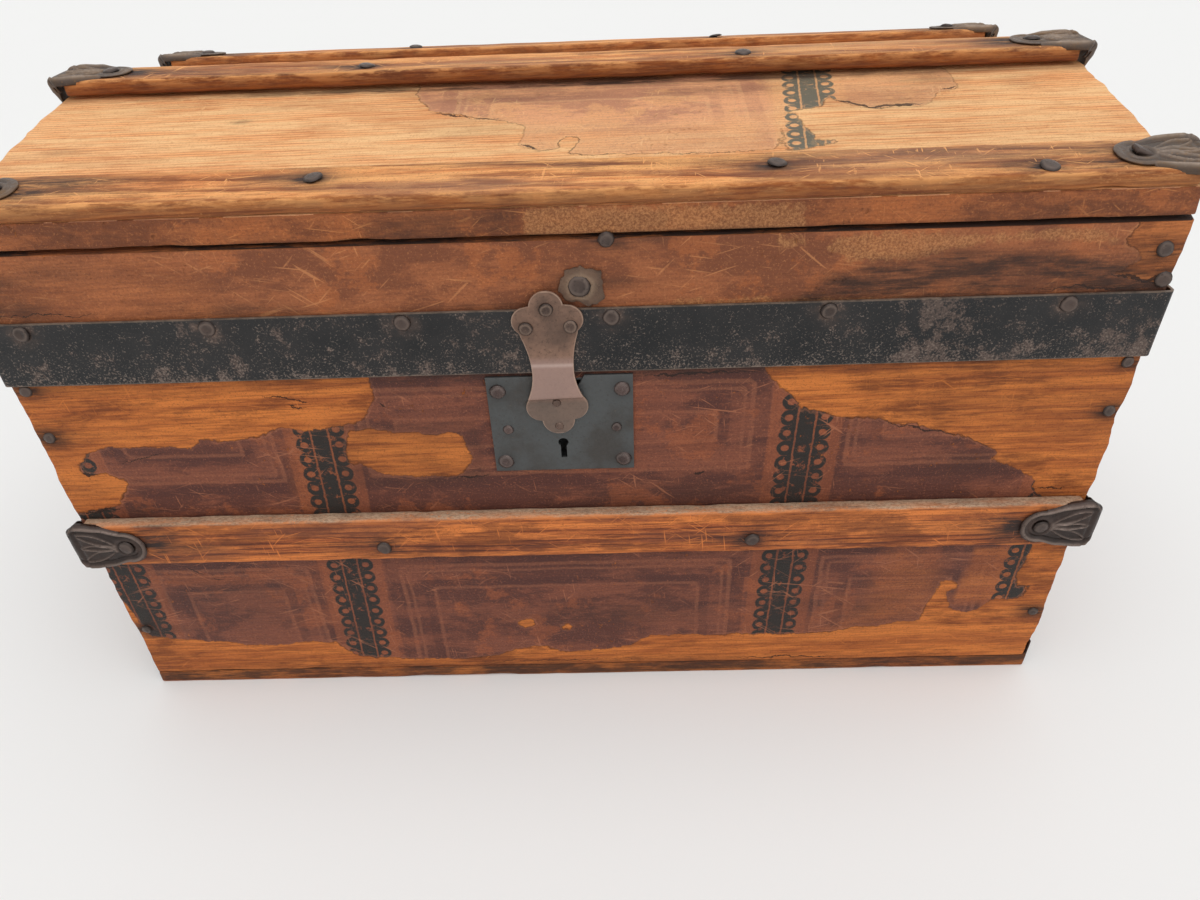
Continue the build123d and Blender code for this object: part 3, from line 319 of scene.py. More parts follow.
def papered_pine(name, wood, paper, side="front", inner_wood=None, cracks=(), grain=None):
    """Bare worn pine with what is left of its printed paper.

    The piece's points carry how far inside the paper's torn edge they lie, how far from the
    nearest printed strap and from the nearest printed frame, in millimetres, and how stained,
    faded, glue-covered and inside the box they are; the stain value also holds painted shade.
    """
    across = side == "ends"
    turn = (0.0, 0.0, 90.0 if across else 0.0)
    coat = Finish(name, specular=0.25)
    light, middle, dark = wood
    ground, deep, line, ink, rubbed = paper
    colour, height, fibre = pine(coat, light, middle, dark, across, **(grain or {}))
    inner, _, _ = pine(coat, *(inner_wood or wood), across)
    colour = coat.mix(coat.ramp(coat.lay("inside"), 0.4, 0.6), colour, inner)
    grit = coat.cloud(coat.place, 1150.0, 5.0, 0.8)
    rag = coat.cloud(coat.place, 42.0, 7.0, 0.68)

    # the torn edge; the thin dark line along it is a painted shadow
    large = coat.swing(coat.cloud(coat.place, 70.0, 3.0, 0.6), 7.0)
    small = coat.swing(coat.cloud(coat.place, 480.0, 4.0, 0.75), 3.0)
    depth = coat.plus(coat.lay("paper"), coat.plus(large, small))
    sheet = coat.ramp(depth, -0.12, 0.12)
    here = coat.ramp(rag, 0.4, 0.6, 0.25, 1.0)
    edge = coat.times(coat.ramp(depth, -0.8, -0.1), coat.ramp(depth, -0.1, 0.1, 1.0, 0.0))
    fleck = coat.ramp(coat.cloud(coat.place, 380.0, 6.0, 0.75), 0.62, 0.66)
    worn = coat.ramp(coat.cloud(coat.place, 24.0, 3.0), 0.45, 0.7)
    sheet = coat.minus(sheet, coat.times(fleck, worn), clamp=True)

    # the print
    mottle = coat.cloud(coat.turned((22.0, 60.0, 60.0), turn), 1.0, 7.0, 0.7)
    print_colour = coat.mix(coat.ramp(mottle, 0.44, 0.56, 0.0, 0.8), ground, deep)
    print_colour = coat.mix(coat.ramp(rag, 0.54, 0.6, 0.0, 0.6), print_colour, rubbed)
    print_colour = coat.mix(coat.ramp(fibre, 0.46, 0.6, 0.0, 0.3), print_colour, deep)
    border = coat.plus(coat.lay("frame"), coat.swing(coat.cloud(coat.place, 90.0, 2.0), 1.6))
    band = coat.times(coat.ramp(border, 0.5, 1.2), coat.ramp(border, 6.0, 6.8, 1.0, 0.0))
    inner_band = coat.times(coat.ramp(border, -12.4, -11.6), coat.ramp(border, -8.6, -7.8, 1.0, 0.0))
    faded = coat.ramp(mottle, 0.4, 0.56, 0.35, 1.0)
    bands = coat.times(coat.reckon("MAXIMUM", band, inner_band), coat.times(faded, 0.7))
    print_colour = coat.mix(bands, print_colour, deep)
    for middle_line, half in ((-0.1, 0.4), (-3.2, 0.15), (-13.0, 0.25)):
        away = coat.apart(border, middle_line)
        thread = coat.times(coat.ramp(away, half, half + 0.9, 0.27, 0.0), faded)
        print_colour = coat.mix(thread, print_colour, line)

    # the printed straps: a dark stripe, a thin line on each side and a row of rings
    pitch = 6.9
    aside = coat.plus(coat.lay("strap"), coat.swing(coat.cloud(coat.place, 520.0, 3.0), 1.0))
    along = coat.swing(coat.reckon("FRACT", coat.reckon("DIVIDE", coat.lay("along"), pitch)), pitch)
    out = coat.minus(aside, 6.6)

    def oval(half_out, half_along):
        squares = [
            coat.reckon("POWER", coat.reckon("ABSOLUTE", coat.reckon("DIVIDE", away, half)), 2.0)
            for away, half in ((out, half_out), (along, half_along))
        ]
        return coat.plus(*squares)

    ring = coat.ramp(oval(3.1, 3.5), 0.85, 1.15, 1.0, 0.0)
    hole = coat.ramp(oval(1.5, 1.4), 0.7, 1.3, 1.0, 0.0)
    lace = coat.reckon("MAXIMUM", ring, coat.ramp(aside, 5.6, 6.0, 1.0, 0.0))
    lace = coat.minus(lace, hole, clamp=True)
    thin = coat.ramp(coat.apart(aside, 3.35), 0.25, 0.5, 0.8, 0.0)
    lace = coat.minus(lace, thin, clamp=True)
    print_colour = coat.mix(coat.ramp(aside, 13.0, 14.0, 0.45, 0.0), print_colour, rubbed)
    print_colour = coat.mix(coat.lay("pale"), print_colour, coat.mix(0.3, colour, rubbed))
    print_colour = coat.mix(coat.ramp(grit, 0.52, 0.64, 0.0, 0.62), print_colour, deep)
    print_colour = coat.mix(coat.ramp(grit, 0.35, 0.44, 0.5, 0.0), print_colour, line)
    lost = coat.ramp(coat.cloud(coat.place, 300.0, 6.0, 0.75), 0.56, 0.66, 1.0, 0.1)
    print_colour = coat.mix(coat.times(lace, lost), print_colour, ink)
    print_colour = scratches(coat, print_colour, line, 0.6, side)
    colour = scratches(coat, colour, light, 0.55, side)

    colour = coat.mix(sheet, colour, print_colour)
    # painted shadow: a thin dark line along the paper's torn edge
    colour = coat.mix(coat.times(edge, coat.times(here, 0.7)), colour, tone(40, 22, 14))
    lip = coat.times(coat.ramp(depth, 0.1, 0.35), coat.ramp(depth, 0.5, 1.1, 1.0, 0.0))
    colour = coat.mix(coat.times(lip, coat.times(here, 0.35)), colour, line)
    colour = split_lines(coat, colour, cracks, 1 if side == "roof" else 2)

    # glue, dirt, painted shade and wear
    crumbs = coat.swing(coat.cloud(coat.place, 260.0, 5.0, 0.7), 9.0)
    crust = coat.ramp(coat.plus(coat.lay("glue"), crumbs), -0.6, 1.4)
    buff = coat.mix(coat.ramp(grit, 0.42, 0.58), tone(196, 138, 88), tone(142, 90, 54))
    colour = coat.mix(coat.times(crust, 0.66), colour, buff)
    grime_and_shade = coat.cloud(coat.turned((30.0, 130.0, 130.0), turn), 1.0, 7.0, 0.72)
    grime_and_shade = coat.plus(grime_and_shade, coat.times(fibre, 0.3))
    # dark stained places, some of them painted shade in the gaps and beside the slats
    dirt_and_shade = coat.times(coat.lay("stain"), coat.ramp(grime_and_shade, 0.52, 0.74, 0.5, 1.25), clamp=True)
    colour = coat.mix(dirt_and_shade, colour, tone(52, 36, 30))
    rough = coat.ramp(sheet, 0.0, 1.0, 0.7, 0.5)
    relief = coat.plus(coat.times(height, 0.4), coat.times(sheet, 0.8))
    relief = coat.plus(relief, coat.times(grit, 1.2))
    return coat.close(colour, rough, relief, 0.0004)


def split_lines(coat, colour, cracks, rise_axis):
    """Thin dark cracks, each from (across, up) to (across, up) and so wide at its middle, in mm."""
    axes = coat.axes()
    outside = coat.minus(0.85, coat.lay("inside"), clamp=True)
    jag = coat.swing(coat.cloud(coat.place, 170.0, 5.0, 0.65), 0.006)
    for x0, z0, x1, z1, width in cracks:
        run = coat.ramp(axes[0], x0 * mm, x1 * mm)
        rise = coat.times(coat.minus(axes[0], x0 * mm), (z1 - z0) / (x1 - x0))
        away = coat.apart(axes[rise_axis], coat.plus(coat.plus(rise, z0 * mm), jag))
        taper = coat.times(coat.times(run, coat.minus(1.0, run)), 4.0 * width * mm)
        gap = coat.reckon("LESS_THAN", away, taper)
        colour = coat.mix(coat.times(gap, outside), colour, tone(26, 15, 11))
    return colour


def slat_wood(name, light, middle, dark, dust, flank_shade, side="roof"):
    """Edge-worn slat wood with dust on its upper ledge, dark bruises round its nails and its long sides painted
    darker as shade.
    """
    coat = Finish(name, specular=0.25)
    colour, height, fibre = pine(coat, light, middle, dark, rings=0.0019, pith=(0.0, 0.02, -0.05), lines=0.9)
    zone = coat.cloud(coat.turned((11.0, 75.0, 75.0)), 1.0, 5.0, 0.65)
    colour = coat.mix(coat.ramp(zone, 0.5, 0.6, 0.0, 0.45), colour, tone(104, 62, 50))
    # painted shade: the long sides, marked by the side value, are painted darker
    shade = coat.mix(coat.ramp(fibre, 0.42, 0.6), flank_shade, dark)
    colour = coat.mix(coat.lay("side"), colour, shade)
    fuzz = coat.cloud(coat.turned((800.0, 1600.0, 1600.0)), 1.0, 5.0, 0.8)
    grey = coat.mix(coat.ramp(fuzz, 0.42, 0.62), dust, tone(152, 120, 95))
    patchy = coat.ramp(coat.cloud(coat.turned((26.0, 90.0, 90.0)), 1.0, 5.0, 0.65), 0.36, 0.5, 0.5, 1.0)
    colour = coat.mix(coat.times(coat.lay("dust"), patchy), colour, grey)
    grime_and_shade = coat.plus(coat.cloud(coat.turned((34.0, 170.0, 170.0)), 1.0, 7.0, 0.72), coat.times(fibre, 0.3))
    dirt_and_shade = coat.times(coat.lay("stain"), coat.ramp(grime_and_shade, 0.52, 0.74, 0.45, 1.2), clamp=True)
    colour = coat.mix(dirt_and_shade, colour, tone(54, 40, 36))
    rubbed = coat.ramp(coat.cloud(coat.turned((60.0, 260.0, 260.0)), 1.0, 6.0, 0.72), 0.42, 0.6)
    bright = coat.times(coat.lay("worn"), rubbed)
    colour = coat.mix(coat.times(bright, 0.8), colour, light)
    colour = coat.mix(coat.lay("side"), scratches(coat, colour, light, 0.7, side), colour)
    relief = coat.plus(coat.times(height, 0.8), coat.times(fuzz, 0.8))
    return coat.close(colour, 0.66, relief, 0.0003)


def old_iron(name, ground, rust, pale, spots=0.5, roughness=0.5, metallic=0.35, grain=260.0, depth=0.00025):
    """Sheet iron with rust, pale specks and rubbed rims, painted highlight on raised ribs and painted contact
    shade round nail heads.
    """
    coat = Finish(name, metallic=metallic, specular=0.5)
    large = coat.cloud(coat.place, 45.0, 5.0, 0.65)
    fine = coat.cloud(coat.place, grain * 3.0, 5.0, 0.75)
    colour = coat.mix(coat.ramp(large, 0.42, 0.66), ground, rust)
    colour = coat.mix(coat.ramp(fine, 0.6, 0.7, 0.0, spots), colour, pale)
    # rubbed rims made paler; on the clamps' raised ribs this is also a painted highlight
    rub_and_sheen = coat.times(coat.lay("worn"), coat.ramp(large, 0.3, 0.6, 0.5, 1.0))
    colour = coat.mix(coat.times(rub_and_sheen, 0.8), colour, pale)
    # dirt and painted contact shade round nail heads and rivets, and dark patina in the clamps' hollows
    seat = coat.times(coat.lay("grime_and_shade"), coat.ramp(fine, 0.35, 0.6, 1.0, 0.6))
    colour = coat.mix(coat.times(seat, 0.85), colour, tone(28, 20, 17))
    pit = coat.cells(coat.place, grain * 2.2)
    colour = coat.mix(coat.ramp(pit, 0.12, 0.28, 0.5, 0.0), colour, rust)
    rough = coat.ramp(fine, 0.35, 0.7, roughness - 0.12, roughness + 0.2)
    relief = coat.plus(coat.times(large, 0.8), coat.times(fine, 0.5))
    return coat.close(colour, rough, relief, depth)


def band_paint():
    """Black japanned band: pale specks towards its lower edge, brown wear and pale rims."""
    coat = Finish("band_black", metallic=0.1, specular=0.36)
    across, _, up = coat.axes()
    bare_middle = 0.127  # where the paint under the glue marks is rubbed most
    low = coat.ramp(up, 0.164, 0.181, 1.0, 0.0)
    right_end = coat.ramp(across, 0.06, 0.2)
    bare = coat.ramp(coat.apart(across, bare_middle), 0.0, 0.026, 1.0, 0.0)
    broad = coat.cloud(coat.place, 34.0, 5.0, 0.62)
    fine = coat.cloud(coat.place, 1250.0, 4.0, 0.75)
    coarse = coat.cloud(coat.place, 150.0, 7.0, 0.75)
    colour = coat.mix(coat.ramp(broad, 0.35, 0.65), tone(20, 21, 23), tone(38, 36, 36))
    wear = coat.plus(coat.times(broad, 0.4), coat.times(coarse, 0.6))
    for source, amount in ((right_end, 0.03), (low, 0.055), (coat.lay("stain"), 0.09), (bare, 0.085)):
        wear = coat.plus(wear, coat.times(source, amount))
    speckled = coat.plus(wear, coat.swing(fine, 0.3))
    colour = coat.mix(coat.ramp(speckled, 0.555, 0.64, 0.0, 0.85), colour, tone(98, 82, 74))
    spots = coat.plus(coat.plus(fine, coat.times(low, 0.055)), coat.swing(coarse, 0.35))
    colour = coat.mix(coat.ramp(spots, 0.59, 0.65, 0.0, 0.6), colour, tone(134, 120, 110))
    halo = coat.times(coat.lay("stain"), coat.ramp(coarse, 0.4, 0.56, 0.15, 0.85))
    colour = coat.mix(halo, colour, tone(112, 90, 78))
    rim = coat.times(coat.lay("worn"), coat.ramp(coarse, 0.35, 0.6, 0.3, 0.9))
    colour = coat.mix(rim, colour, tone(126, 108, 94))
    relief = coat.plus(coat.times(broad, 0.9), coat.times(fine, 0.35))
    return coat.close(colour, coat.ramp(wear, 0.5, 0.65, 0.42, 0.7), relief, 0.0004)


def hasp_metal():
    """Plated hasp gone pinkish brown, with polish and painted sheen where it bulges and a painted highlight
    along its crease.
    """
    coat = Finish("hasp_worn_plate", metallic=0.45, specular=0.5)
    up = coat.axes()[2]
    large = coat.cloud(coat.place, 60.0, 5.0, 0.65)
    fine = coat.cloud(coat.place, 900.0, 5.0, 0.75)
    crease_height = 0.1676  # where the bulge starts
    polish_and_sheen = coat.times(coat.ramp(up, 0.152, 0.156), coat.ramp(up, 0.168, 0.172, 1.0, 0.0))
    foot = coat.ramp(up, 0.1515, 0.1545, 1.0, 0.0)
    colour = coat.mix(coat.ramp(large, 0.38, 0.66), tone(140, 108, 90), tone(100, 78, 66))
    colour = coat.mix(coat.ramp(fine, 0.53, 0.64, 0.0, 0.6), colour, tone(84, 66, 56))
    crease = coat.apart(up, crease_height)
    # painted sheen: the bulge is painted paler, partly a real polish
    colour = coat.mix(coat.times(polish_and_sheen, 0.8), colour, tone(158, 130, 120))
    # painted highlight: a bright line along the crease
    colour = coat.mix(coat.ramp(crease, 0.0, 0.0012, 0.34, 0.0), colour, tone(220, 196, 186))
    colour = coat.mix(coat.times(foot, 0.65), colour, tone(104, 92, 84))
    rub_and_sheen = coat.times(coat.lay("worn"), coat.ramp(large, 0.35, 0.6, 0.35, 0.8))
    colour = coat.mix(rub_and_sheen, colour, tone(186, 158, 138))
    # dirt and painted contact shade round the rivets
    colour = coat.mix(coat.times(coat.lay("grime_and_shade"), 0.6), colour, tone(58, 42, 35))
    rough = coat.ramp(fine, 0.35, 0.7, 0.38, 0.62)
    return coat.close(colour, rough, coat.plus(large, fine), 0.00012)


handle_height = 0.112
stitch_row = 0.006  # from the strap's middle line


def leather():
    """Old cracked leather with a pressed line over each row of stitches and rubbed edges."""
    coat = Finish("cracked_leather", specular=0.4)
    crack = coat.cells(coat.place, 420.0, "DISTANCE_TO_EDGE")
    grain = coat.cloud(coat.place, 800.0, 5.0, 0.7)
    patch = coat.cloud(coat.place, 60.0, 4.0, 0.6)
    colour = coat.mix(coat.ramp(patch, 0.4, 0.65), tone(92, 56, 38), tone(66, 42, 32))
    colour = coat.mix(coat.ramp(crack, 0.02, 0.09, 0.7, 0.0), colour, tone(38, 26, 22))
    colour = coat.mix(coat.ramp(grain, 0.62, 0.75, 0.0, 0.5), colour, tone(128, 92, 66))
    away = coat.apart(coat.axes()[2], handle_height)
    pressed = coat.ramp(coat.apart(away, stitch_row), 0.0004, 0.0009, 1.0, 0.0)
    colour = coat.mix(coat.times(pressed, 0.6), colour, tone(40, 26, 20))
    colour = coat.mix(coat.ramp(away, 0.0078, 0.009, 0.0, 0.6), colour, tone(122, 84, 58))
    relief = coat.plus(coat.ramp(crack, 0.0, 0.12), coat.times(grain, 0.5))
    relief = coat.minus(relief, coat.times(pressed, 0.8))
    return coat.close(colour, coat.ramp(patch, 0.4, 0.65, 0.5, 0.66), relief, 0.0003)


def thread():
    """Waxed linen thread gone brown."""
    coat = Finish("waxed_thread", specular=0.3)
    twist = coat.cloud(coat.turned((900.0, 900.0, 2600.0), (35.0, 0.0, 0.0)), 1.0, 3.0, 0.6)
    colour = coat.mix(coat.ramp(twist, 0.42, 0.6), tone(164, 132, 92), tone(104, 76, 50))
    return coat.close(colour, 0.7, twist, 0.0001)


front_wood = (tone(220, 130, 62), tone(182, 101, 49), tone(94, 46, 25))
front_paper = (tone(134, 78, 58), tone(84, 48, 42), tone(186, 118, 84), tone(46, 41, 38), tone(162, 90, 56))
inside_wood = (tone(218, 170, 116), tone(194, 142, 92), tone(150, 100, 60))
roof_wood = (tone(255, 205, 147), tone(255, 185, 124), tone(188, 104, 54))
roof_paper = (tone(240, 172, 124), tone(190, 130, 100), tone(252, 200, 144), tone(112, 106, 90),
              tone(246, 180, 122))
lid_wood = (tone(208, 126, 70), tone(172, 98, 52), tone(104, 56, 34))
lid_paper = (tone(170, 102, 64), tone(120, 69, 46), tone(214, 144, 92), tone(48, 42, 38), tone(184, 106, 60))
side_wood = (tone(206, 126, 70), tone(172, 98, 52), tone(104, 54, 30))
edge_wood = (tone(196, 118, 62), tone(160, 90, 48), tone(96, 52, 30))
edge_paper = (tone(168, 98, 56), tone(112, 62, 38), tone(216, 142, 84), tone(48, 42, 38), tone(188, 108, 58))
front_cracks = (
    (-112, 157, -92, 153.5, 0.45), (-104, 152.5, -94, 151, 0.3), (20, 160.5, 70, 162, 0.5),
    (45, 116.4, 50, 117.6, 0.8), (-198, 103.4, -178, 106.5, 0.45), (-60, 9.5, 40, 10.5, 0.2),
    (60, 9, 120, 9.4, 0.4), (176, 104.6, 190, 105.4, 0.5), (-166, 74, -158, 68, 0.6),
    (-158, 66, -150, 65, 0.3), (-70, 152.6, -66, 150, 0.3), (-190, 124, -184, 123, 1.0),
    (-176, 127.3, -150, 134, 0.25), (-50, 117, -30, 118.6, 0.35), (110, 139.6, 150, 130, 0.35),
)
lid_cracks = (
    (176, 196, 197, 190.5, 0.5), (186, 192, 201, 194, 0.7), (150, 190.4, 200, 190, 0.35),
    (-200, 191, -150, 191, 0.2),
)
roof_cracks = (
    (-52, -31, -31, -40, 0.5), (-34, -39, -21, -40.5, 0.4), (-15, -61, -8, -65, 0.8),
    (97, -31.5, 115, -43, 0.9), (106, -41, 132, -39, 1.1), (139, -28, 147, -26, 0.5),
)

finishes = {
    "front": papered_pine("body_front_paper_and_pine", front_wood, front_paper, inner_wood=inside_wood,
                          cracks=front_cracks),
    "back": papered_pine("body_back_paper_and_pine", front_wood, front_paper, inner_wood=inside_wood),
    "lid": papered_pine("lid_front_paper_and_pine", lid_wood, lid_paper, inner_wood=inside_wood,
                        cracks=lid_cracks),
    "roof_edge": papered_pine("roof_edge_paper_and_pine", edge_wood, edge_paper),
    "roof": papered_pine("roof_paper_and_pine", roof_wood, roof_paper, "roof", inside_wood, cracks=roof_cracks,
                         grain={"rings": 0.0018, "pith": (0.0, 0.36, 0.25), "lines": 0.6, "clouds": 0.4}),
    "ends": papered_pine("end_paper_and_pine", side_wood, front_paper, "ends", inside_wood),
    "slat": slat_wood("slat_brown_pine", tone(228, 134, 68), tone(166, 88, 48), tone(78, 37, 26),
                      tone(200, 170, 142), tone(120, 66, 34), "front"),
    "roof_slat": slat_wood("slat_light_pine", tone(252, 182, 114), tone(224, 142, 82), tone(130, 68, 32),
                           tone(160, 136, 120), tone(158, 88, 38)),
    "band": band_paint(),
    "hasp": hasp_metal(),
    "clamp": old_iron("clamp_stamped_iron", tone(70, 55, 49), tone(46, 35, 31), tone(122, 106, 97),
                      0.4, 0.38, 0.5),
    "lid_clamp": old_iron("clamp_dusty_iron", tone(92, 78, 69), tone(112, 84, 56), tone(142, 126, 112),
                          0.5, 0.46, 0.4),
    "nail": old_iron("nail_iron", tone(82, 68, 62), tone(52, 42, 38), tone(128, 112, 102), 0.5, 0.42, 0.5),
    "plate_nail": old_iron("plate_nail_iron", tone(88, 72, 68), tone(52, 40, 37), tone(150, 138, 132),
                           0.4, 0.3, 0.6),
    "plate": old_iron("lock_blue_iron", tone(76, 78, 78), tone(64, 61, 58), tone(122, 112, 100),
                      0.36, 0.5, 0.35),
    "hinge": old_iron("hinge_iron", tone(78, 70, 66), tone(92, 64, 48), tone(120, 108, 98), 0.4, 0.5, 0.45),
    "tin": old_iron("washer_tin", tone(112, 86, 68), tone(80, 60, 48), tone(158, 132, 108),
                    0.7, 0.62, 0.2, 420.0, 0.0005),
    "steel": old_iron("lock_steel", tone(128, 124, 118), tone(96, 82, 70), tone(164, 160, 152), 0.3, 0.4, 0.7),
    "rivet": old_iron("rivet_metal", tone(104, 84, 74), tone(66, 52, 46), tone(150, 128, 112),
                      0.4, 0.36, 0.6),
    "leather": leather(),
    "thread": thread(),
}

# ---------------------------------------------------------------- making and placing pieces


def piece(name, bm, body, node, finish, sharp=35.0):
    """Makes the shape a piece that stands for its node and rides on its body."""
    mesh = bpy.data.meshes.new(name)
    bm.to_mesh(mesh)
    bm.free()
    for face in mesh.polygons:
        face.use_smooth = True
    mesh.set_sharp_from_angle(angle=math.radians(sharp))
    thing = bpy.data.objects.new(name, mesh)
    scene.collection.objects.link(thing)
    mesh.materials.append(finishes[finish])
    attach(thing, body)
    if node:
        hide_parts(node)
    return thing


def block(low, high):
    bm = bmesh.new()
    bmesh.ops.create_cube(bm, size=1.0)
    bmesh.ops.scale(bm, vec=high - low, verts=bm.verts)
    bmesh.ops.translate(bm, vec=(low + high) / 2, verts=bm.verts)
    return bm


def cuts_between(low, high, step, rims=(0.5, 1.3)):
    """Places of the cuts along one side: close together at both rims, a step apart between."""
    near = [low + rim * mm for rim in rims]
    far = [high - rim * mm for rim in reversed(rims)]
    count = max(1, round((far[0] - near[-1]) / (step * mm)))
    width = (far[0] - near[-1]) / count
    return near + [near[-1] + width * turn for turn in range(1, count)] + far


def cut_across(bm, axis, places):
    normal = Vector((0.0, 0.0, 0.0))
    normal[axis] = 1.0
    for place in places:
        bmesh.ops.bisect_plane(
            bm, geom=bm.verts[:] + bm.edges[:] + bm.faces[:], dist=1e-7,
            plane_co=normal * place, plane_no=normal)


def cut_off(bm, point, normal):
    """Takes off what lies beyond a plane and closes the cut."""
    cut = bmesh.ops.bisect_plane(
        bm, geom=bm.verts[:] + bm.edges[:] + bm.faces[:], dist=1e-7,
        plane_co=point, plane_no=normal, clear_outer=True)
    edges = [item for item in cut["geom_cut"] if isinstance(item, bmesh.types.BMEdge)]
    bmesh.ops.edgenet_fill(bm, edges=edges)


def ripple(place, scale, seed):
    """Even noise from -1 to 1 with waves of about 1/scale metres."""
    return noise.noise(Vector(place) * scale + Vector((seed * 7.31, seed * 3.7, seed * 1.9)))


def wear(bm, low, high, radius, seed, chips=1.0, long_axis=0, ends=(0.0, 0.0), flat=0.12):
    """Rounds the arrises unevenly, chips them here and there and frays both ends."""
    middle = (low + high) / 2
    fray = 8.0 * mm  # how far the wear of an end reaches in
    side = [axis for axis in range(3) if axis != long_axis]
    wide = max(side, key=lambda axis: high[axis] - low[axis])
    for vert in bm.verts:
        place = vert.co.copy()
        chip = max(0.0, ripple(place, 55.0, seed) - 0.25) * 3.2 * chips
        reach = (radius * (1.0 + 0.45 * ripple(place, 130.0, seed + 1)) + chip) * mm
        reach = min(reach, 0.45 * min(high - low))
        core = Vector([min(max(place[a], low[a] + reach), high[a] - reach) for a in range(3)])
        away = place - core
        if sum(abs(value) > 1e-9 for value in away) > 1:
            place = core + away.normalized() * reach
        for end, sign in zip(ends, (-1.0, 1.0)):
            if not end:
                continue
            limit = high[long_axis] if sign > 0 else low[long_axis]
            inward = abs(limit - place[long_axis])
            if inward > fray:
                continue
            where = [place[a] * (1.0 if a == wide else 0.25) for a in side] + [0.01 * sign]
            bite = 1.4 * abs(ripple(where, 48.0, seed + 2)) + 0.6 * abs(ripple(where, 150.0, seed + 3))
            place[long_axis] -= sign * end * mm * bite * (1.0 - inward / fray) ** 2
        bump = flat * mm * ripple(place, 38.0, seed + 4)
        for axis in side:
            if min(abs(place[axis] - low[axis]), abs(high[axis] - place[axis])) < 0.2 * mm:
                place[axis] -= abs(bump) * (1.0 if place[axis] > middle[axis] else -1.0)
        vert.co = place


def inside_by(outline, across, up):
    """How far a point lies inside an outline, in the outline's own unit; negative outside."""
    nearest = 1e9
    within = False
    for (x0, y0), (x1, y1) in zip(outline, outline[1:] + outline[:1]):
        dx, dy = x1 - x0, y1 - y0
        share = part(((across - x0) * dx + (up - y0) * dy) / (dx * dx + dy * dy))
        nearest = min(nearest, math.hypot(across - x0 - share * dx, up - y0 - share * dy))
        if (y0 > up) != (y1 > up) and across < x0 + (up - y0) / (y1 - y0) * dx:
            within = not within
    return nearest if within else -nearest


def inside_any(outlines, across, up):
    return max([inside_by(outline, across, up) for outline in outlines] or [-60.0])


def off_axis(point, hub, way):
    """How far a point is from the line that runs through hub along way."""
    away = point - hub
    return (away - away.dot(way) * way).length


def girth(points, way):
    """How far the points reach from their own middle line along way."""
    hub = sum(points, Vector()) / len(points)
    return max(off_axis(point, hub, way) for point in points)


def loose_parts(bm):
    """The points of each part that hangs together."""
    seen = set()
    for start in bm.verts:
        if start in seen:
            continue
        group, edge = [], [start]
        seen.add(start)
        while edge:
            vert = edge.pop()
            group.append(vert.co.copy())
            for link in vert.link_edges:
                other = link.other_vert(vert)
                if other not in seen:
                    seen.add(other)
                    edge.append(other)
        yield group


nail_sets = {}


def nail_places(node):
    """Head, direction, head radius, length and head height of each nail, read from the node's solids."""
    bm = bmesh.new()
    bm.from_mesh(nodes[node].data)
    bmesh.ops.remove_doubles(bm, verts=bm.verts, dist=1e-6)
    found = []
    ways = (Vector((0, 1, 0)), Vector((1, 0, 0)), Vector((0, 0, 1)), front_out, rear_out)
    for group in loose_parts(bm):
        way = Vector(min((girth(group, way), tuple(way)) for way in ways)[1])
        heights = [point.dot(way) for point in group]
        low, high = min(heights), max(heights)
        top = [p for p, h in zip(group, heights) if h > (low + high) / 2]
        end = [p for p, h in zip(group, heights) if h <= (low + high) / 2]
        if girth(top, way) < girth(end, way):
            way, low, high, top = -way, -high, -low, end
        hub = Vector([(min(p[axis] for p in top) + max(p[axis] for p in top)) / 2 for axis in range(3)])
        tip = hub + (high - hub.dot(way)) * way
        radius = max(off_axis(p, tip, way) for p in top)
        seat = min(p.dot(way) for p in top if off_axis(p, tip, way) > 0.8 * radius)
        found.append((tip, way, radius, high - low, high - seat))
    bm.free()
    return found


def wear_layers(bm):
    """The layers of a metal piece's points: how rubbed and how dirty they are, with painted highlight and
    painted shade among them.
    """
    return bm.verts.layers.float.new("worn"), bm.verts.layers.float.new("grime_and_shade")


def node_shape(node):
    """The node's own shape, each flat face in one."""
    bm = bmesh.new()
    bm.from_mesh(nodes[node].data)
    bmesh.ops.remove_doubles(bm, verts=bm.verts, dist=1e-6)
    bmesh.ops.dissolve_limit(bm, angle_limit=math.radians(1.0), verts=bm.verts, edges=bm.edges)
    return bm


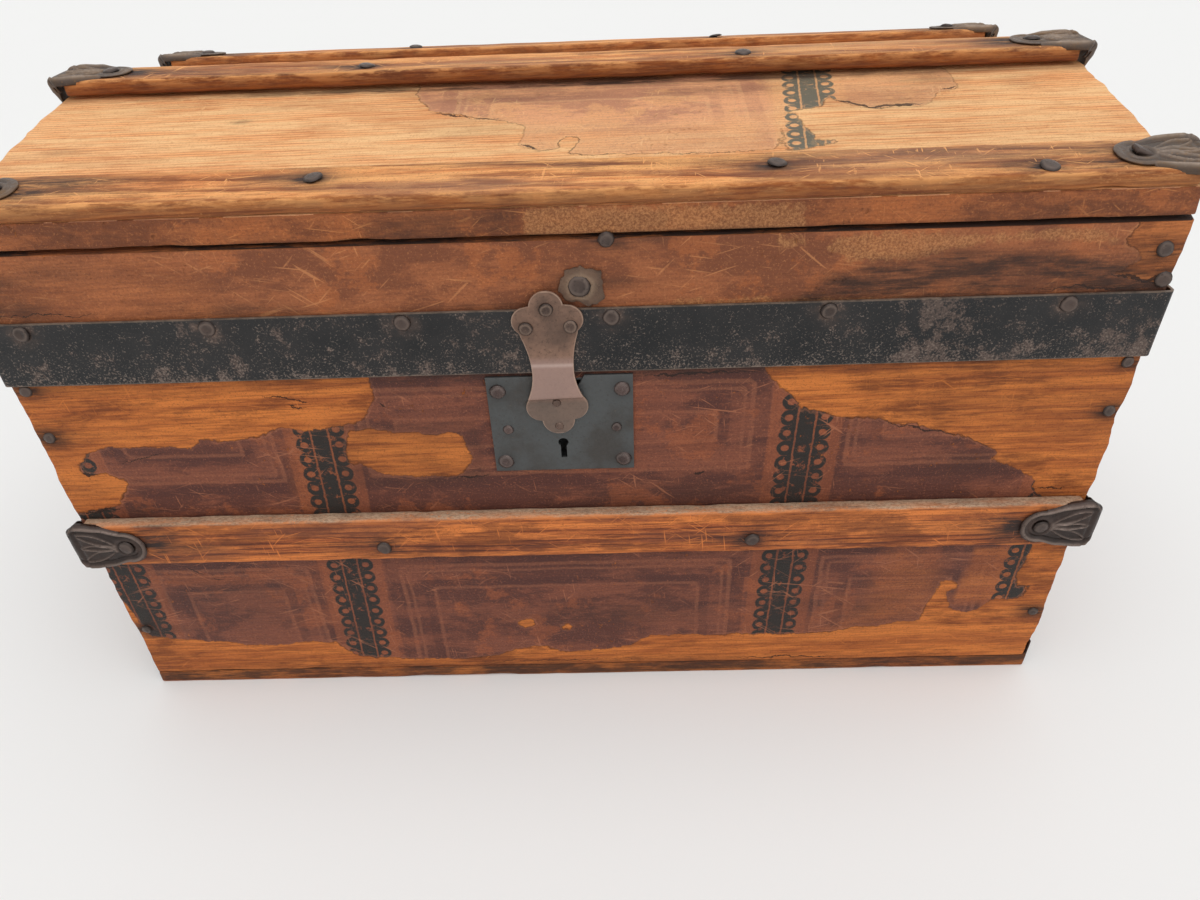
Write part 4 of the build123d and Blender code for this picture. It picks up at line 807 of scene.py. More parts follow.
def hammer(bm, tip, way, radius, rise, length, seed, square=False, dimple=0.0):
    """One nail: a hand-struck domed head, dimpled on some, and its shank."""
    start = set(bm.verts)
    rub_and_sheen = bm.verts.layers.float["worn"]
    seat = bm.verts.layers.float["grime_and_shade"]
    if square:
        bmesh.ops.create_cube(bm, size=1.0)
        head = [v for v in bm.verts if v not in start]
        bmesh.ops.scale(bm, vec=(1.9 * radius, 1.5 * radius, rise * 1.9), verts=head)
        bmesh.ops.rotate(bm, cent=(0.0, 0.0, 0.0), matrix=Matrix.Rotation(0.3, 3, "Y"), verts=head)
        edges = [e for e in bm.edges if e.verts[0] not in start]
        bmesh.ops.bevel(bm, geom=edges, offset=0.25 * radius, segments=2, profile=0.5, affect="EDGES",
                        material=-1)
        head = [v for v in bm.verts if v not in start]
    else:
        bmesh.ops.create_uvsphere(bm, u_segments=16, v_segments=18 if dimple else 8, radius=1.0)
        head = [v for v in bm.verts if v not in start]
        for vert in head:
            flat = math.hypot(vert.co.x, vert.co.y)
            height = vert.co.z ** 0.8 if vert.co.z > 0.0 else max(vert.co.z, -0.25)
            vert.co.z = height
            if flat > 0.9:
                vert.co.z -= 0.1
            vert[rub_and_sheen] = (0.55 if dimple else 0.3) * math.exp(-((flat - 0.72) / 0.14) ** 2) * (vert.co.z > 0.0)
            # dirt and painted contact shade: the head is darker towards its rim, where it meets the face under
            # it
            vert[seat] = part((flat - 0.8) / 0.14)
            if dimple and height > 0.0:
                vert.co.z = min(vert.co.z, 0.8) - dimple * math.exp(-(flat / 0.42) ** 2)
        bmesh.ops.scale(bm, vec=(radius, radius, rise), verts=head)
    shank = bmesh.ops.create_cone(
        bm, segments=6, radius1=0.12 * radius, radius2=0.33 * radius, depth=length, cap_ends=True)["verts"]
    bmesh.ops.translate(bm, vec=(0.0, 0.0, -length / 2), verts=shank)
    for vert in head:
        place = vert.co / radius
        dent = 0.10 * noise.noise(place * 1.7 + Vector((seed * 5.3, seed * 1.7, 0.0)))
        vert.co *= 1.0 + dent
    lean = Matrix.Rotation(0.12 * math.sin(seed * 4.1), 4, "X")
    lean = lean @ Matrix.Rotation(0.12 * math.cos(seed * 2.3), 4, "Y")
    bmesh.ops.transform(bm, matrix=lean, verts=head)
    turn = way.to_track_quat("Z", "Y").to_matrix().to_4x4()
    bmesh.ops.transform(bm, matrix=Matrix.Translation(tip - way * rise) @ turn, verts=head + shank)


def nails(name, node, body, finish="nail", swell=1.0, lift=0.85, dimple=0.0):
    """All the nails of one node, each struck in its own place; one of the lid's clamps has a bent nail."""
    nail_sets[node] = nail_places(node)
    bm = bmesh.new()
    wear_layers(bm)
    for turn, (tip, way, radius, length, rise) in enumerate(nail_sets[node]):
        bent = node == "lid_clamp_nails" and tip.x > 0.17 and tip.y < -0.05 and way.z > 0.5
        hammer(bm, tip, way, radius * swell, rise * lift, length - rise, turn + len(name), bent, dimple)
    bmesh.ops.recalc_face_normals(bm, faces=bm.faces)
    return piece(name, bm, body, node, finish, 50.0)


def dirt_and_shade_round(node, reach, strength):
    """A dark ring round each nail of a node, for the faces that look forward: soil and painted contact shade.
    """
    return [(tip.x / mm, tip.z / mm, reach * size / mm, reach * size / mm, strength)
            for tip, _, size, _, _ in nail_sets[node]]


def dressed(node, body, finish, rim, step=None, around=None):
    """The node's own shape with its arrises broken and rubbed, and dark rings of soil and painted shade round
    the nails of around.
    """
    low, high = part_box(node)
    bm = node_shape(node)
    if step:
        for axis in (0, 2):
            cut_across(bm, axis, cuts_between(low[axis], high[axis], step, (1.0,)))
    edges = [e for e in bm.edges if len(e.link_faces) == 2 and e.calc_face_angle(0.0) > math.radians(40.0)]
    broken = bmesh.ops.bevel(bm, geom=edges, offset=rim * mm, segments=2, profile=0.5, affect="EDGES",
                             material=-1, clamp_overlap=True)
    rub_and_sheen, seat = wear_layers(bm)
    if step:
        fresh = set(broken["faces"])
        dirt_and_shade = dirt_and_shade_round(around, 1.5, 0.75)
        for vert in bm.verts:
            vert[rub_and_sheen] = float(all(face in fresh for face in vert.link_faces))
            # dirt and painted contact shade round the plate's nails
            vert[seat] = bruises(dirt_and_shade, vert.co.x / mm, vert.co.z / mm)
    bmesh.ops.triangulate(bm, faces=[f for f in bm.faces if len(f.verts) > 4])
    return piece(node + "_dressed", bm, body, node, finish)


for node, body in (
    ("body_back_corner_nails", "trunk_body"), ("body_clamp_nails", "trunk_body"),
    ("body_front_corner_nails", "trunk_body"), ("body_slat_nails", "trunk_body"),
    ("bottom_iron_nails", "trunk_body"), ("handle_nails", "trunk_body"),
    ("lock_plate_nails", "trunk_body"), ("body_hinge_nails", "trunk_body"),
    ("band_nails", "lid"), ("lid_back_nails", "lid"), ("lid_clamp_nails", "lid"),
    ("lid_front_nails", "lid"), ("lid_hinge_nails", "lid"), ("lid_slat_nails", "lid"),
    ("washer_nail", "lid"),
):
    nails(node + "_struck", node, body, "plate_nail" if node == "lock_plate_nails" else "nail",
          swell=1.18 if node == "lock_plate_nails" else 1.0,
          lift={"lid_slat_nails": 0.6, "lock_plate_nails": 1.3}.get(node, 0.85),
          dimple=0.5 if node in ("band_nails", "washer_nail") else 0.0)
nails("hasp_rivets_struck", "hasp_rivets", "lid", "rivet", dimple=0.6)
nails("lock_case_rivets_struck", "lock_case_rivets", "trunk_body", "plate_nail")

# ---------------------------------------------------------------- boards


def painted(bm, values):
    """Writes named values on the shape's points; values(place) gives them by name."""
    for key in values(Vector((0.0, 0.0, 0.0))):
        bm.verts.layers.float.new(key)
    layers = {key: bm.verts.layers.float[key] for key in bm.verts.layers.float.keys()}
    for vert in bm.verts:
        for key, value in values(vert.co).items():
            vert[layers[key]] = value


def bruises(places, across, up):
    """How dark a place is from the bruises round its nails, from other stains and from painted shade."""
    total = 0.0
    for middle_across, middle_up, half_across, half_up, strength in places:
        away = ((across - middle_across) / half_across) ** 2 + ((up - middle_up) / half_up) ** 2
        total = max(total, strength * math.exp(-1.2 * away))
    return total


def smeared(smears, across, up):
    """How dark a place is from outlined stains, each (outline, softness, strength)."""
    total = 0.0
    for outline, soft, strength in smears:
        total = max(total, strength * eased(part(0.5 + inside_by(outline, across, up) / soft)))
    return total


def frame_depth(frames, across, up):
    """Distance outside the nearest printed frame; negative inside it."""
    best = 60.0
    for left, right_side, bottom, top in frames:
        away = max(left - across, across - right_side, bottom - up, up - top)
        if abs(away) < abs(best) or away < 0:
            best = away
    return best


def strap_distance(straps, across, up):
    """Distance from the middle of the nearest printed strap: (across, up) low and high ends."""
    best = 60.0
    for (x0, z0), (x1, z1) in straps:
        middle = x0 + (x1 - x0) * (up - z0) / (z1 - z0)
        best = min(best, abs(across - middle))
    return best


class Print:
    """What is on one face: paper outlines, bare patches, straps, frames, glue, and stains with some painted
    shade among them, in mm.
    """

    def __init__(self, paper, bare=(), straps=(), frames=(), glue=(), stains=(), smears=(), pale=()):
        self.paper, self.bare, self.glue = paper, bare, glue
        self.straps, self.frames = straps, frames
        self.stains, self.smears, self.pale = stains, smears, pale

    def at(self, across, up):
        depth = inside_any(self.paper, across, up)
        if self.bare:
            depth = min(depth, -inside_any(self.bare, across, up))
        return {
            "paper": max(-60.0, min(60.0, depth)),
            "strap": strap_distance(self.straps, across, up),
            "along": up,
            "frame": frame_depth(self.frames, across, up),
            "glue": max(-60.0, inside_any(self.glue, across, up)),
            "stain": max(bruises(self.stains, across, up), smeared(self.smears, across, up)),
            "pale": smeared(self.pale, across, up),
            "inside": 0.0,
        }


plain_inside = {"paper": -60.0, "strap": 60.0, "along": 0.0, "frame": 60.0, "glue": -60.0, "stain": 0.0,
                "pale": 0.0, "inside": 1.0}
plain_edge = dict(plain_inside, inside=0.0)

body_front_print = Print(
    paper=[[
        (-200.6, 103.4), (-179.7, 107.2), (-176.6, 113), (-173.2, 119.3), (-179.4, 124.2), (-187.1, 123.4),
        (-189.4, 126.6), (-183.3, 133.1), (-175.2, 135.5), (-161.5, 135.4), (-144.3, 134.5), (-137.1, 139.4),
        (-132.7, 137.7), (-117.3, 137.9), (-107.6, 142.5), (-98.1, 142.4), (-84.9, 142), (-76.8, 145),
        (-71.3, 152.6), (-70.7, 162), (-70, 180), (69, 180), (69.2, 161.7), (71.4, 158.7), (80, 152),
        (82.8, 144.6), (89, 143), (98.5, 140.5), (111.8, 140), (126.5, 137.1), (141, 131.3), (148.8, 128.8),
        (157.8, 123.3), (156.6, 119.3), (160.7, 117.6), (168.7, 115), (173.7, 112), (176.8, 111.3),
        (177.3, 104.4), (183, 98), (184, 86), (185, 73.7), (182.6, 62), (182, 53.5), (184.6, 51), (188.6, 51.5),
        (187.7, 45.2), (181, 43.6), (176, 44.5), (166.6, 37), (157.9, 38.1), (155.2, 48.6), (161, 51.8),
        (155, 58), (150.9, 55.5), (148.4, 43.6), (145.8, 31.4), (123, 28.8), (108.6, 25.3), (77.6, 25.3),
        (45.6, 25.8), (29, 25.4),
        (15.6, 16.8), (-8.7, 15.7), (-20.5, 20.6), (-41.9, 14), (-66.6, 12), (-88.6, 14.3), (-104.9, 15.4),
        (-111.9, 26.3), (-135.5, 24.1), (-160.5, 26), (-189.3, 30.3), (-194, 30.5), (-196.1, 37.3),
        (-200.4, 59.9), (-200.5, 80),
    ]],
    bare=[[
        (-84.4, 142), (-71, 140.7), (-58.2, 139.6), (-42.5, 138.4), (-39, 134.1), (-37.7, 126.5),
        (-44.1, 118.3), (-59.7, 118.2), (-72.7, 121), (-81.5, 125.2), (-86, 122.5),
    ], [(-29, 36), (-24, 38), (-22, 34), (-27, 32)], [(-11, 33), (-6, 35), (-4, 31), (-9, 29)]],
    straps=[((-98.5, 16), (-93.8, 142)), ((83, 16), (86, 142)), ((184.2, 16), (186, 142)),
            ((-193, 16), (-192, 142))],
    pale=[([(162, 74), (190, 74), (190, 42), (158, 42), (160, 56)], 3.0, 0.75),
          ([(-111, 112), (-104, 146), (-84, 146), (-88, 100), (-108, 100)], 5.0, 0.2),
          ([(128, 74), (150, 66), (150, 36), (108, 24), (120, 40)], 16.0, 0.45)],
    frames=[(-78, 66, 119, 158), (-76, 62, -10, 71), (-182, -112, 118, 157), (-182, -115, -10, 71),
            (102, 170, 119, 158), (100, 168, -10, 71)],
    # painted shade: the long thin bands just under the lid (up 165) and just under the slat (up 79)
    stains=[(20, 165, 190, 5, 0.75), (-60, 7, 190, 4, 0.4), (118, 40, 30, 16, 0.22), (-150, 56, 40, 18, 0.2),
            (0, 102, 200, 3.5, 0.35), (60, 79, 200, 2.5, 0.6), (-172, 104, 10, 4, 0.4), (40, 108, 60, 6, 0.3),
            (-187, 115, 12, 5, 0.2), (150, 118, 18, 6, 0.25), (12, 40, 50, 7, 0.3)],
    smears=[([(-90, 114), (-34, 114), (-34, 144), (-90, 144)], 4.0, 0.24),
            ([(120, 140), (205, 130), (205, 180), (90, 180)], 20.0, 0.2)],
)

lid_front_print = Print(
    paper=[[(-205, 165), (-205, 220), (186, 220), (180, 207), (186, 200), (178, 194), (205, 190), (205, 165)]],
    pale=[([(-205, 172), (-105, 172), (-125, 215), (-205, 215)], 16.0, 0.35)],
    glue=[[(84.6, 206.4), (88.8, 211), (107.5, 212), (139.1, 210.3), (166.8, 211.7), (180, 207.3),
           (174.8, 205.8), (152.3, 207.6), (127.6, 205.7), (110.9, 201.4), (93.2, 202)],
          [(69.2, 211.6), (77, 211.7), (78.4, 207.9), (70.1, 207.5)],
          [(18, 187.2), (40, 190.4), (74, 189.8), (110, 188.6), (150, 188), (150, 186), (18, 186)]],
    stains=[(-182, 192, 10, 7, 0.55), (-110, 190.5, 30, 3.6, 0.5), (-20, 189.5, 40, 3, 0.35),
            (-168, 206, 20, 5, 0.25), (190, 196, 14, 12, 0.5)],
    smears=[([(66, 185), (78.3, 190.4), (87.1, 198), (102.6, 202), (127.7, 205), (160.1, 203.2), (180.1, 200.2),
              (199.1, 193), (200.4, 185)], 4.5, 0.72)],
)

roof_front_print = Print(
    paper=[[
        (-60, 118), (-60, 108.8), (-58.6, 99.4), (-55.4, 83.9), (-49.8, 74), (-39.5, 71.2), (-32.9, 65.7),
        (-21, 64.2), (-13.8, 57.6), (-14.8, 43.7), (-8.1, 38.2), (0.1, 39.6), (-1.1, 50), (5.1, 47.4),
        (2.1, 35.4), (43.6, 33), (72.8, 34), (79.8, 62.7), (93.8, 66.7), (97.1, 74.2), (105, 67.4),
        (114, 62.3), (122.8, 65.9), (129.4, 64.2), (138.6, 75.7), (145.8, 77.6), (147.4, 92), (145.4, 99.4),
        (146, 118),
    ], [(76.5, 33), (86, 34.5), (86.5, 46), (83.5, 62), (77.5, 62)],
        [(86, 35), (96, 36.5), (93, 41), (86, 39)]],
    straps=[((86.5, 38), (93.4, 99))],
    pale=[([(74, 63), (100, 63), (100, 30), (74, 30)], 2.0, 1.0),
          ([(76, 104), (106, 104), (106, 64), (76, 64)], 6.0, 0.7),
          ([(-20, 62), (30, 54), (72, 60), (72, 30), (-20, 30)], 16.0, 0.75),
          ([(97, 60), (152, 60), (152, 104), (97, 104)], 4.0, 0.6)],
    frames=[(-40, 66, 42, 92)],
    # dirt and painted shade: the thin bands along the front slat's upper edge (up 22) and under the ridge slat
    # (up 94.6)
    stains=[(-20, 85, 44, 9, 0.34), (58, 84, 30, 7, 0.34), (0, 22, 210, 1.2, 0.6), (0, 94.6, 210, 3.2, 0.95),
            (122, 72, 26, 10, 0.3), (138, 88, 16, 8, 0.3), (-130, 88, 60, 9, 0.14), (-30, 56, 20, 12, 0.16),
            (170, 84, 12, 8, 0.2), (-120, 70, 4, 1.5, 0.5), (-178, 50, 6, 2, 0.4), (120, 45, 70, 10, 0.12)],
)


def wandering(seed, left, right_side, low, high):
    """A plain torn outline round a face, uneven by noise."""
    outline = []
    corners = 20
    for turn in range(corners):
        angle = 2 * math.pi * turn / corners
        reach = 0.86 + 0.30 * noise.noise(Vector((seed * 3.1, math.cos(angle) * 1.6, math.sin(angle) * 1.6)))
        square = max(abs(math.cos(angle)), abs(math.sin(angle)))
        outline.append((
            (left + right_side) / 2 + (right_side - left) / 2 * reach * math.cos(angle) / square,
            (low + high) / 2 + (high - low) / 2 * reach * math.sin(angle) / square,
        ))
    return outline


back_print = Print(
    paper=[wandering(2, -205, 205, 8, 175)],
    bare=[wandering(5, 40, 120, 90, 150), wandering(9, -190, -140, 20, 60)],
    straps=[((-98.5, 16), (-93.8, 142)), ((86, 16), (83, 142)), ((186, 16), (185, 142)),
            ((-193, 16), (-192, 142))],
    frames=[(-78, 66, 94, 158), (-76, 66, 14, 80), (-180, -114, 94, 158), (-180, -114, 14, 80),
            (102, 170, 94, 158), (102, 170, 14, 80)],
    stains=[(0, 12, 210, 8, 0.5), (-120, 150, 60, 16, 0.3), (110, 70, 60, 30, 0.25), (0, 166, 210, 6, 0.4)],
)
lid_back_print = Print(
    paper=[wandering(11, -204, 204, 168, 218)],
    straps=[((-94, 165), (-93, 218)), ((84, 165), (84, 218))],
    frames=[(-78, 68, 176, 208)],
    stains=[(0, 171, 210, 5, 0.5), (60, 200, 70, 12, 0.3), (0, 214, 210, 3, 0.5)],
)
roof_edge_print = Print(
    paper=[[(-205, 200), (205, 200), (205, 230), (-205, 230)]],
    glue=[[(-12, 212), (80, 212), (76, 222), (-10, 224)]],
    # painted shade: the thin band along the lower edge (up 213.6), at the gap over the lid's wall
    stains=[(0, 213.6, 210, 1.2, 0.6), (-150, 220, 30, 4, 0.25), (150, 217, 30, 4, 0.3)],
    smears=[([(-64, 212), (-12, 212), (-12, 224.5), (-60, 224.5)], 1.2, 0.38)],
)
roof_back_print = Print(
    paper=[wandering(14, -150, 60, 16, 112), wandering(17, 110, 190, 30, 100)],
    straps=[((-92, 20), (-90, 103)), ((86, 20), (92, 103))],
    frames=[(-78, 60, 34, 92)],
    # dirt and painted shade: the thin bands along the lower slat's edge (up 22) and under the ridge slat (up
    # 94.5)
    stains=[(-60, 60, 70, 18, 0.25), (0, 22, 210, 1.6, 0.7), (0, 94.5, 210, 2.6, 0.5), (110, 60, 50, 14, 0.2)],
)
end_print = Print(
    paper=[wandering(21, -96, 96, 8, 175)],
    bare=[wandering(24, -60, -10, 26, 70)],
    straps=[((-62, 16), (-60, 142)), ((60, 16), (62, 142))],
    frames=[(-44, 44, 26, 154)],
    stains=[(0, 12, 100, 8, 0.5), (0, 112, 58, 20, 0.3), (50, 60, 30, 30, 0.25), (0, 166, 110, 5, 0.45)],
)
lid_end_print = Print(
    paper=[wandering(27, -94, 94, 166, 232)],
    straps=[((-62, 160), (-60, 232)), ((60, 160), (62, 232))],
    frames=[(-44, 44, 192, 212)],
    stains=[(0, 190, 100, 4, 0.5), (30, 210, 40, 10, 0.3), (0, 226, 60, 8, 0.35)],
)


def with_nails(face, sets, across_axis, struck_in):
    """Adds a bruise round each nail of those sets that is struck into the face."""
    for node in sets:
        for tip, *_ in nail_sets[node]:
            if struck_in(tip):
                across, up = tip[across_axis] / mm, tip.z / mm
                face.stains = [*face.stains, (across, up, 9.0, 5.0, 0.9), (across + 6.0, up, 16.0, 2.6, 0.5)]


with_nails(body_front_print, ["body_front_corner_nails"], 0, lambda tip: tip.y < -0.1)
with_nails(lid_front_print, ["lid_front_nails", "washer_nail"], 0, lambda tip: tip.y < -0.1)
with_nails(back_print, ["body_back_corner_nails", "body_hinge_nails"], 0, lambda tip: tip.y > 0.1)
with_nails(lid_back_print, ["lid_back_nails", "lid_hinge_nails"], 0, lambda tip: tip.y > 0.1)
with_nails(end_print, ["handle_nails", "bottom_iron_nails"], 1, lambda tip: abs(tip.x) > 0.2)
with_nails(lid_end_print, ["band_nails"], 1, lambda tip: abs(tip.x) > 0.2)


def cut_all_ways(bm, low, high, steps, rims=(0.5, 1.3)):
    for axis in range(3):
        cut_across(bm, axis, cuts_between(low[axis], high[axis], steps[axis], rims))


def board(node, body, finish, face, outward, step, seed, ends=(0.0, 0.0), carve=(), rim_stain=0.0,
          gap_shade_above=None):
    """A level or upright board with its outer face printed; outward is the way that face looks."""
    low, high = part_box(node)
    bm = block(low, high)
    axis = max(range(3), key=lambda a: abs(outward[a]))
    long_axis = 1 if axis == 0 else 0
    for point, normal in carve:
        cut_off(bm, point, normal)
    cut_all_ways(bm, low, high, [4.0 if cut == axis else step for cut in range(3)])
    wear(bm, low, high, 0.8, seed, long_axis=long_axis, ends=ends)
    outer = high[axis] if outward[axis] > 0 else low[axis]
    inner_skin = high[axis] - low[axis] - 0.6 * mm

    def values(place):
        depth = abs(place[axis] - outer)
        # painted shade: the wall's slanting top, inside the gap under the roof, is painted fully dark
        if gap_shade_above and place.z / mm > gap_shade_above + 0.142 * depth / mm and depth > 0.3 * mm:
            return dict(plain_edge, stain=1.0)
        if depth > 4.5 * mm:
            indoors = depth > inner_skin and (axis != 2 or abs(place.y) < inner_face)
            return plain_inside if indoors else dict(plain_edge, stain=rim_stain)
        if depth > 1.1 * mm:
            return dict(plain_edge, stain=rim_stain)
        return face.at(place[long_axis] / mm, place.z / mm)

    painted(bm, values)
    return piece(node + "_worn", bm, body, node, finish, 50.0)


def let_in_lock(front_board):
    """Takes the staple's open slot and the lock's bed out of the front board."""
    for low, high in (
        (Vector((-7.3, -104.0, 154.5)), Vector((0.3, -97.2, 171.0))),
        (Vector((-26.0, -106.0, 123.5)), Vector((19.0, -96.0, 161.0))),
    ):
        cutter_shape = block(low * mm, high * mm)
        cutter = bpy.data.objects.new("cutter", bpy.data.meshes.new("cutter"))
        cutter_shape.to_mesh(cutter.data)
        cutter_shape.free()
        scene.collection.objects.link(cutter)
        cut = front_board.modifiers.new("slot", "BOOLEAN")
        cut.operation = "DIFFERENCE"
        cut.solver = "EXACT"
        cut.object = cutter
        bpy.context.view_layer.update()
        seen = front_board.evaluated_get(bpy.context.evaluated_depsgraph_get())
        mesh = bpy.data.meshes.new_from_object(seen)
        front_board.modifiers.remove(cut)
        old = front_board.data
        front_board.data = mesh
        bpy.data.meshes.remove(old)
        bpy.data.objects.remove(cutter)


let_in_lock(board("body_front_board", "trunk_body", "front", body_front_print, (0, -1, 0), 2.4, 1, (1.3, 2.0)))
board("body_back_board", "trunk_body", "back", back_print, (0, 1, 0), 3.4, 2, (1.2, 1.2))
board("body_left_end", "trunk_body", "ends", end_print, (-1, 0, 0), 3.4, 3)
board("body_right_end", "trunk_body", "ends", end_print, (1, 0, 0), 3.4, 4)
board("bottom_board", "trunk_body", "back", Print(paper=[], stains=[(0, 0, 220, 30, 0.5)]), (0, 0, -1), 4.5, 5,
      (0.9, 0.9), rim_stain=0.7)
lid_wall_top = 0.2124  # at the lid's outer face; a dark gap shows there between wall and roof, closed inside
wall_slant = math.atan2(wall_top - lid_wall_top, wall_thickness)
for way, node, finish, face, step, seed, ends in (
    (-1, "lid_front_board", "lid", lid_front_print, 2.4, 6, (1.0, 2.2)),
    (1, "lid_back_board", "back", lid_back_print, 3.4, 7, (1.2, 1.2)),
):
    slanting_top = (Vector((0.0, way * half_depth, lid_wall_top)),
                    Vector((0.0, way * math.sin(wall_slant), math.cos(wall_slant))))
    board(node, "lid", finish, face, (0, way, 0), step, seed, ends, carve=[slanting_top], gap_shade_above=211.9)

for side, out in (("left", -1), ("right", 1)):
    node = "lid_" + side + "_end"
    low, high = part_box(node)
    bm = block(low, high)
    cut_off(bm, Vector((0.0, -high.y, wall_top)), front_out)
    cut_off(bm, Vector((0.0, high.y, wall_top)), rear_out)
    cut_all_ways(bm, low, high, (4.0, 3.4, 3.4))
    outer = high.x if out > 0 else low.x

    def end_values(place, outer=outer):
        depth = abs(place.x - outer)
        if depth > 4.5 * mm:
            return plain_inside if depth > 8.6 * mm else plain_edge
        return lid_end_print.at(place.y / mm, place.z / mm) if depth < 1.1 * mm else plain_edge

    for vert in bm.verts:
        if abs(vert.co.x - outer) < 1e-5:
            vert.co.x -= out * 0.1 * mm * abs(ripple(vert.co, 38.0, 30 + out))
    painted(bm, end_values)
    piece(node + "_worn", bm, "lid", node, "ends", 50.0)

for side, out in (("front", -1), ("rear", 1)):
    node = "lid_top_" + side + "_board"
    low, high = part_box(node)
    high.z = low.z + roof_thickness / math.cos(roof_pitch)
    bm = block(low, high)
    cut_all_ways(bm, low, high, (2.6, 2.6, 4.0))
    wear(bm, low, high, 0.9, 40 + out, 0.9, 0, (2.0, 2.6))
    face = roof_front_print if out < 0 else roof_back_print

    def roof_values(place, top=high.z, out=out, face=face):
        if top - place.z < 1.0 * mm and abs(place.y) < 0.1035:
            up = (half_depth - abs(place.y)) / math.cos(roof_pitch) / mm
            return face.at(place.x / mm, up)
        if abs(place.y) > 0.1030:
            return roof_edge_print.at(place.x / mm, place.z / mm)
        return plain_inside if top - place.z > 8.4 * mm else dict(plain_edge, stain=0.4)

    painted(bm, roof_values)
    for vert in bm.verts:
        vert.co.z += (half_depth - abs(vert.co.y)) * math.tan(roof_pitch)
    thing = piece(node + "_worn", bm, "lid", node, "roof", 50.0)
    thing.data.materials.append(finishes["roof_edge"])
    for polygon in thing.data.polygons:
        if polygon.normal.y * out > 0.6:
            polygon.material_index = 1

# ---------------------------------------------------------------- slats


clamp_bruise = [(-173, 0, 17, 12, 0.95), (173, 0, 17, 12, 0.95), (-160, -2, 30, 4, 0.6), (160, 2, 30, 4, 0.6)]


def slat_bruises(node, seat, up_way, out_way):
    """Dark bruises round the nails of one slat, in its own frame."""
    found = []
    for tip, way, *_ in nail_sets[node]:
        local = tip - seat
        if abs(local.dot(out_way)) < 0.012 and abs(local.dot(up_way)) < 0.0106 and way.dot(out_way) > 0.7:
            x, y = tip.x / mm, local.dot(up_way) / mm
            found += [(x - 1.5, y, 10.0, 6.5, 1.0), (x - 8.0, y + 1.0, 20.0, 4.0, 0.7)]
    return found


def slat(node, body, finish, seed, seat, up_way, out_way, marks, dusty, flank_shade):
    """A slat made in its own frame: x along, y across its width, z out of the board under it.

    The clamps and nails leave bruises; marks are its other stains, dusty gives the dust on it
    and flank_shade is how dark its long sides are painted, as shade.
    """
    high = Vector((slat_half_length, slat_half_width, slat_thickness))
    low = Vector((-slat_half_length, -slat_half_width, 0.0))
    bm = block(low, high)
    cut_all_ways(bm, low, high, (2.2, 2.6, 2.4), (0.5, 1.2))
    wear(bm, low, high, 1.2, seed, 1.3, 0, (0.5, 0.5), 0.2)
    nail_set = "body_slat_nails" if body == "trunk_body" else "lid_slat_nails"
    stains = slat_bruises(nail_set, seat, up_way, out_way) + clamp_bruise + marks
    side_depth, side_drop = (1.0, 0.1) if flank_shade > 0.5 else (0.45, 0.3)

    def values(place):
        near, far = sorted((high.y - abs(place.y), abs(high.z - place.z)))
        on_side = slat_half_width - abs(place.y) < side_depth * mm
        below_face = place.z < slat_thickness - side_drop * mm
        on_face = place.z > slat_thickness - 1.2 * mm
        return {
            "stain": bruises(stains, place.x / mm, place.y / mm) if on_face else 0.25,
            # painted shade: the long sides below the face are marked to be painted darker
            "side": flank_shade if on_side and below_face else 0.0,
            "worn": max(0.0, 1.0 - far / mm / 2.2) if near / mm < 1.2 else 0.0,
            "dust": dusty(place),
            "inside": 0.0,
        }

    painted(bm, values)
    turn = Matrix((Vector((1.0, 0.0, 0.0)), up_way, out_way)).transposed().to_4x4()
    bmesh.ops.transform(bm, matrix=Matrix.Translation(seat) @ turn, verts=bm.verts)
    bmesh.ops.recalc_face_normals(bm, faces=bm.faces)
    return piece(node + "_worn", bm, body, node, finish, 50.0)


def dust_on_ledge(place):
    return part((place.y - slat_half_width + 0.9 * mm) / (0.7 * mm))


def dust_film(place):
    if place.z < slat_thickness - 1.0 * mm:
        return 0.0
    return 0.5 * max(0.0, noise.noise(Vector((place.x * 9.0, place.y * 60.0, 1.7))))


front_eave = Vector((0.0, -half_depth, roof_eave))
rear_eave = Vector((0.0, half_depth, roof_eave))
seats = {  # the middle of a slat's underside, the way across it and the way out of the board
    "body_slat": (Vector((0.0, -half_depth, 0.09105)), Vector((0.0, 0.0, 1.0)), Vector((0.0, -1.0, 0.0))),
    "lid_front": (front_eave + front_up * slat_half_width, front_up, front_out),
    "lid_ridge": (Vector((0.0, 0.0, 0.2383)), Vector((0.0, 1.0, 0.0)), Vector((0.0, 0.0, 1.0))),
    "lid_rear": (rear_eave - rear_up * slat_half_width, rear_up, rear_out),
}
clamp_bruise = [(-173, 0, 17, 12, 0.95), (173, 0, 17, 12, 0.95), (-160, -2, 30, 4, 0.6), (160, 2, 30, 4, 0.6)]
slat("body_front_slat", "trunk_body", "slat", 51, *seats["body_slat"],
     [(150, 1, 40, 4, 0.4), (-60, -5, 60, 2.4, 0.4)], dust_on_ledge, 0.3)
slat("lid_front_slat", "lid", "roof_slat", 52, *seats["lid_front"],
     [(70, 5, 44, 5.0, 0.5), (130, 6, 44, 4.0, 0.4), (-158, 4, 26, 6.0, 0.8), (12, 7, 30, 4.0, 0.45),
      (-60, 9, 90, 1.6, 0.5)], dust_film, 0.75)
slat("lid_ridge_slat", "lid", "roof_slat", 53, *seats["lid_ridge"],
     [(60, 6, 80, 3.5, 0.4), (-90, -9, 120, 3, 0.5)], dust_film, 0.95)
slat("lid_rear_slat", "lid", "roof_slat", 54, *seats["lid_rear"],
     [(-60, 5, 70, 4.5, 0.5)], dust_film, 0.8)

# ---------------------------------------------------------------- slat clamps


clamp_nose = 8.0  # radius of the round nose, in mm as the rest
clamp_fold = 28.6  # how far from the nose's tip the clamp turns down over the slat's end
clamp_tail = 43.4  # where its end begins to round off
clamp_length = 46.4


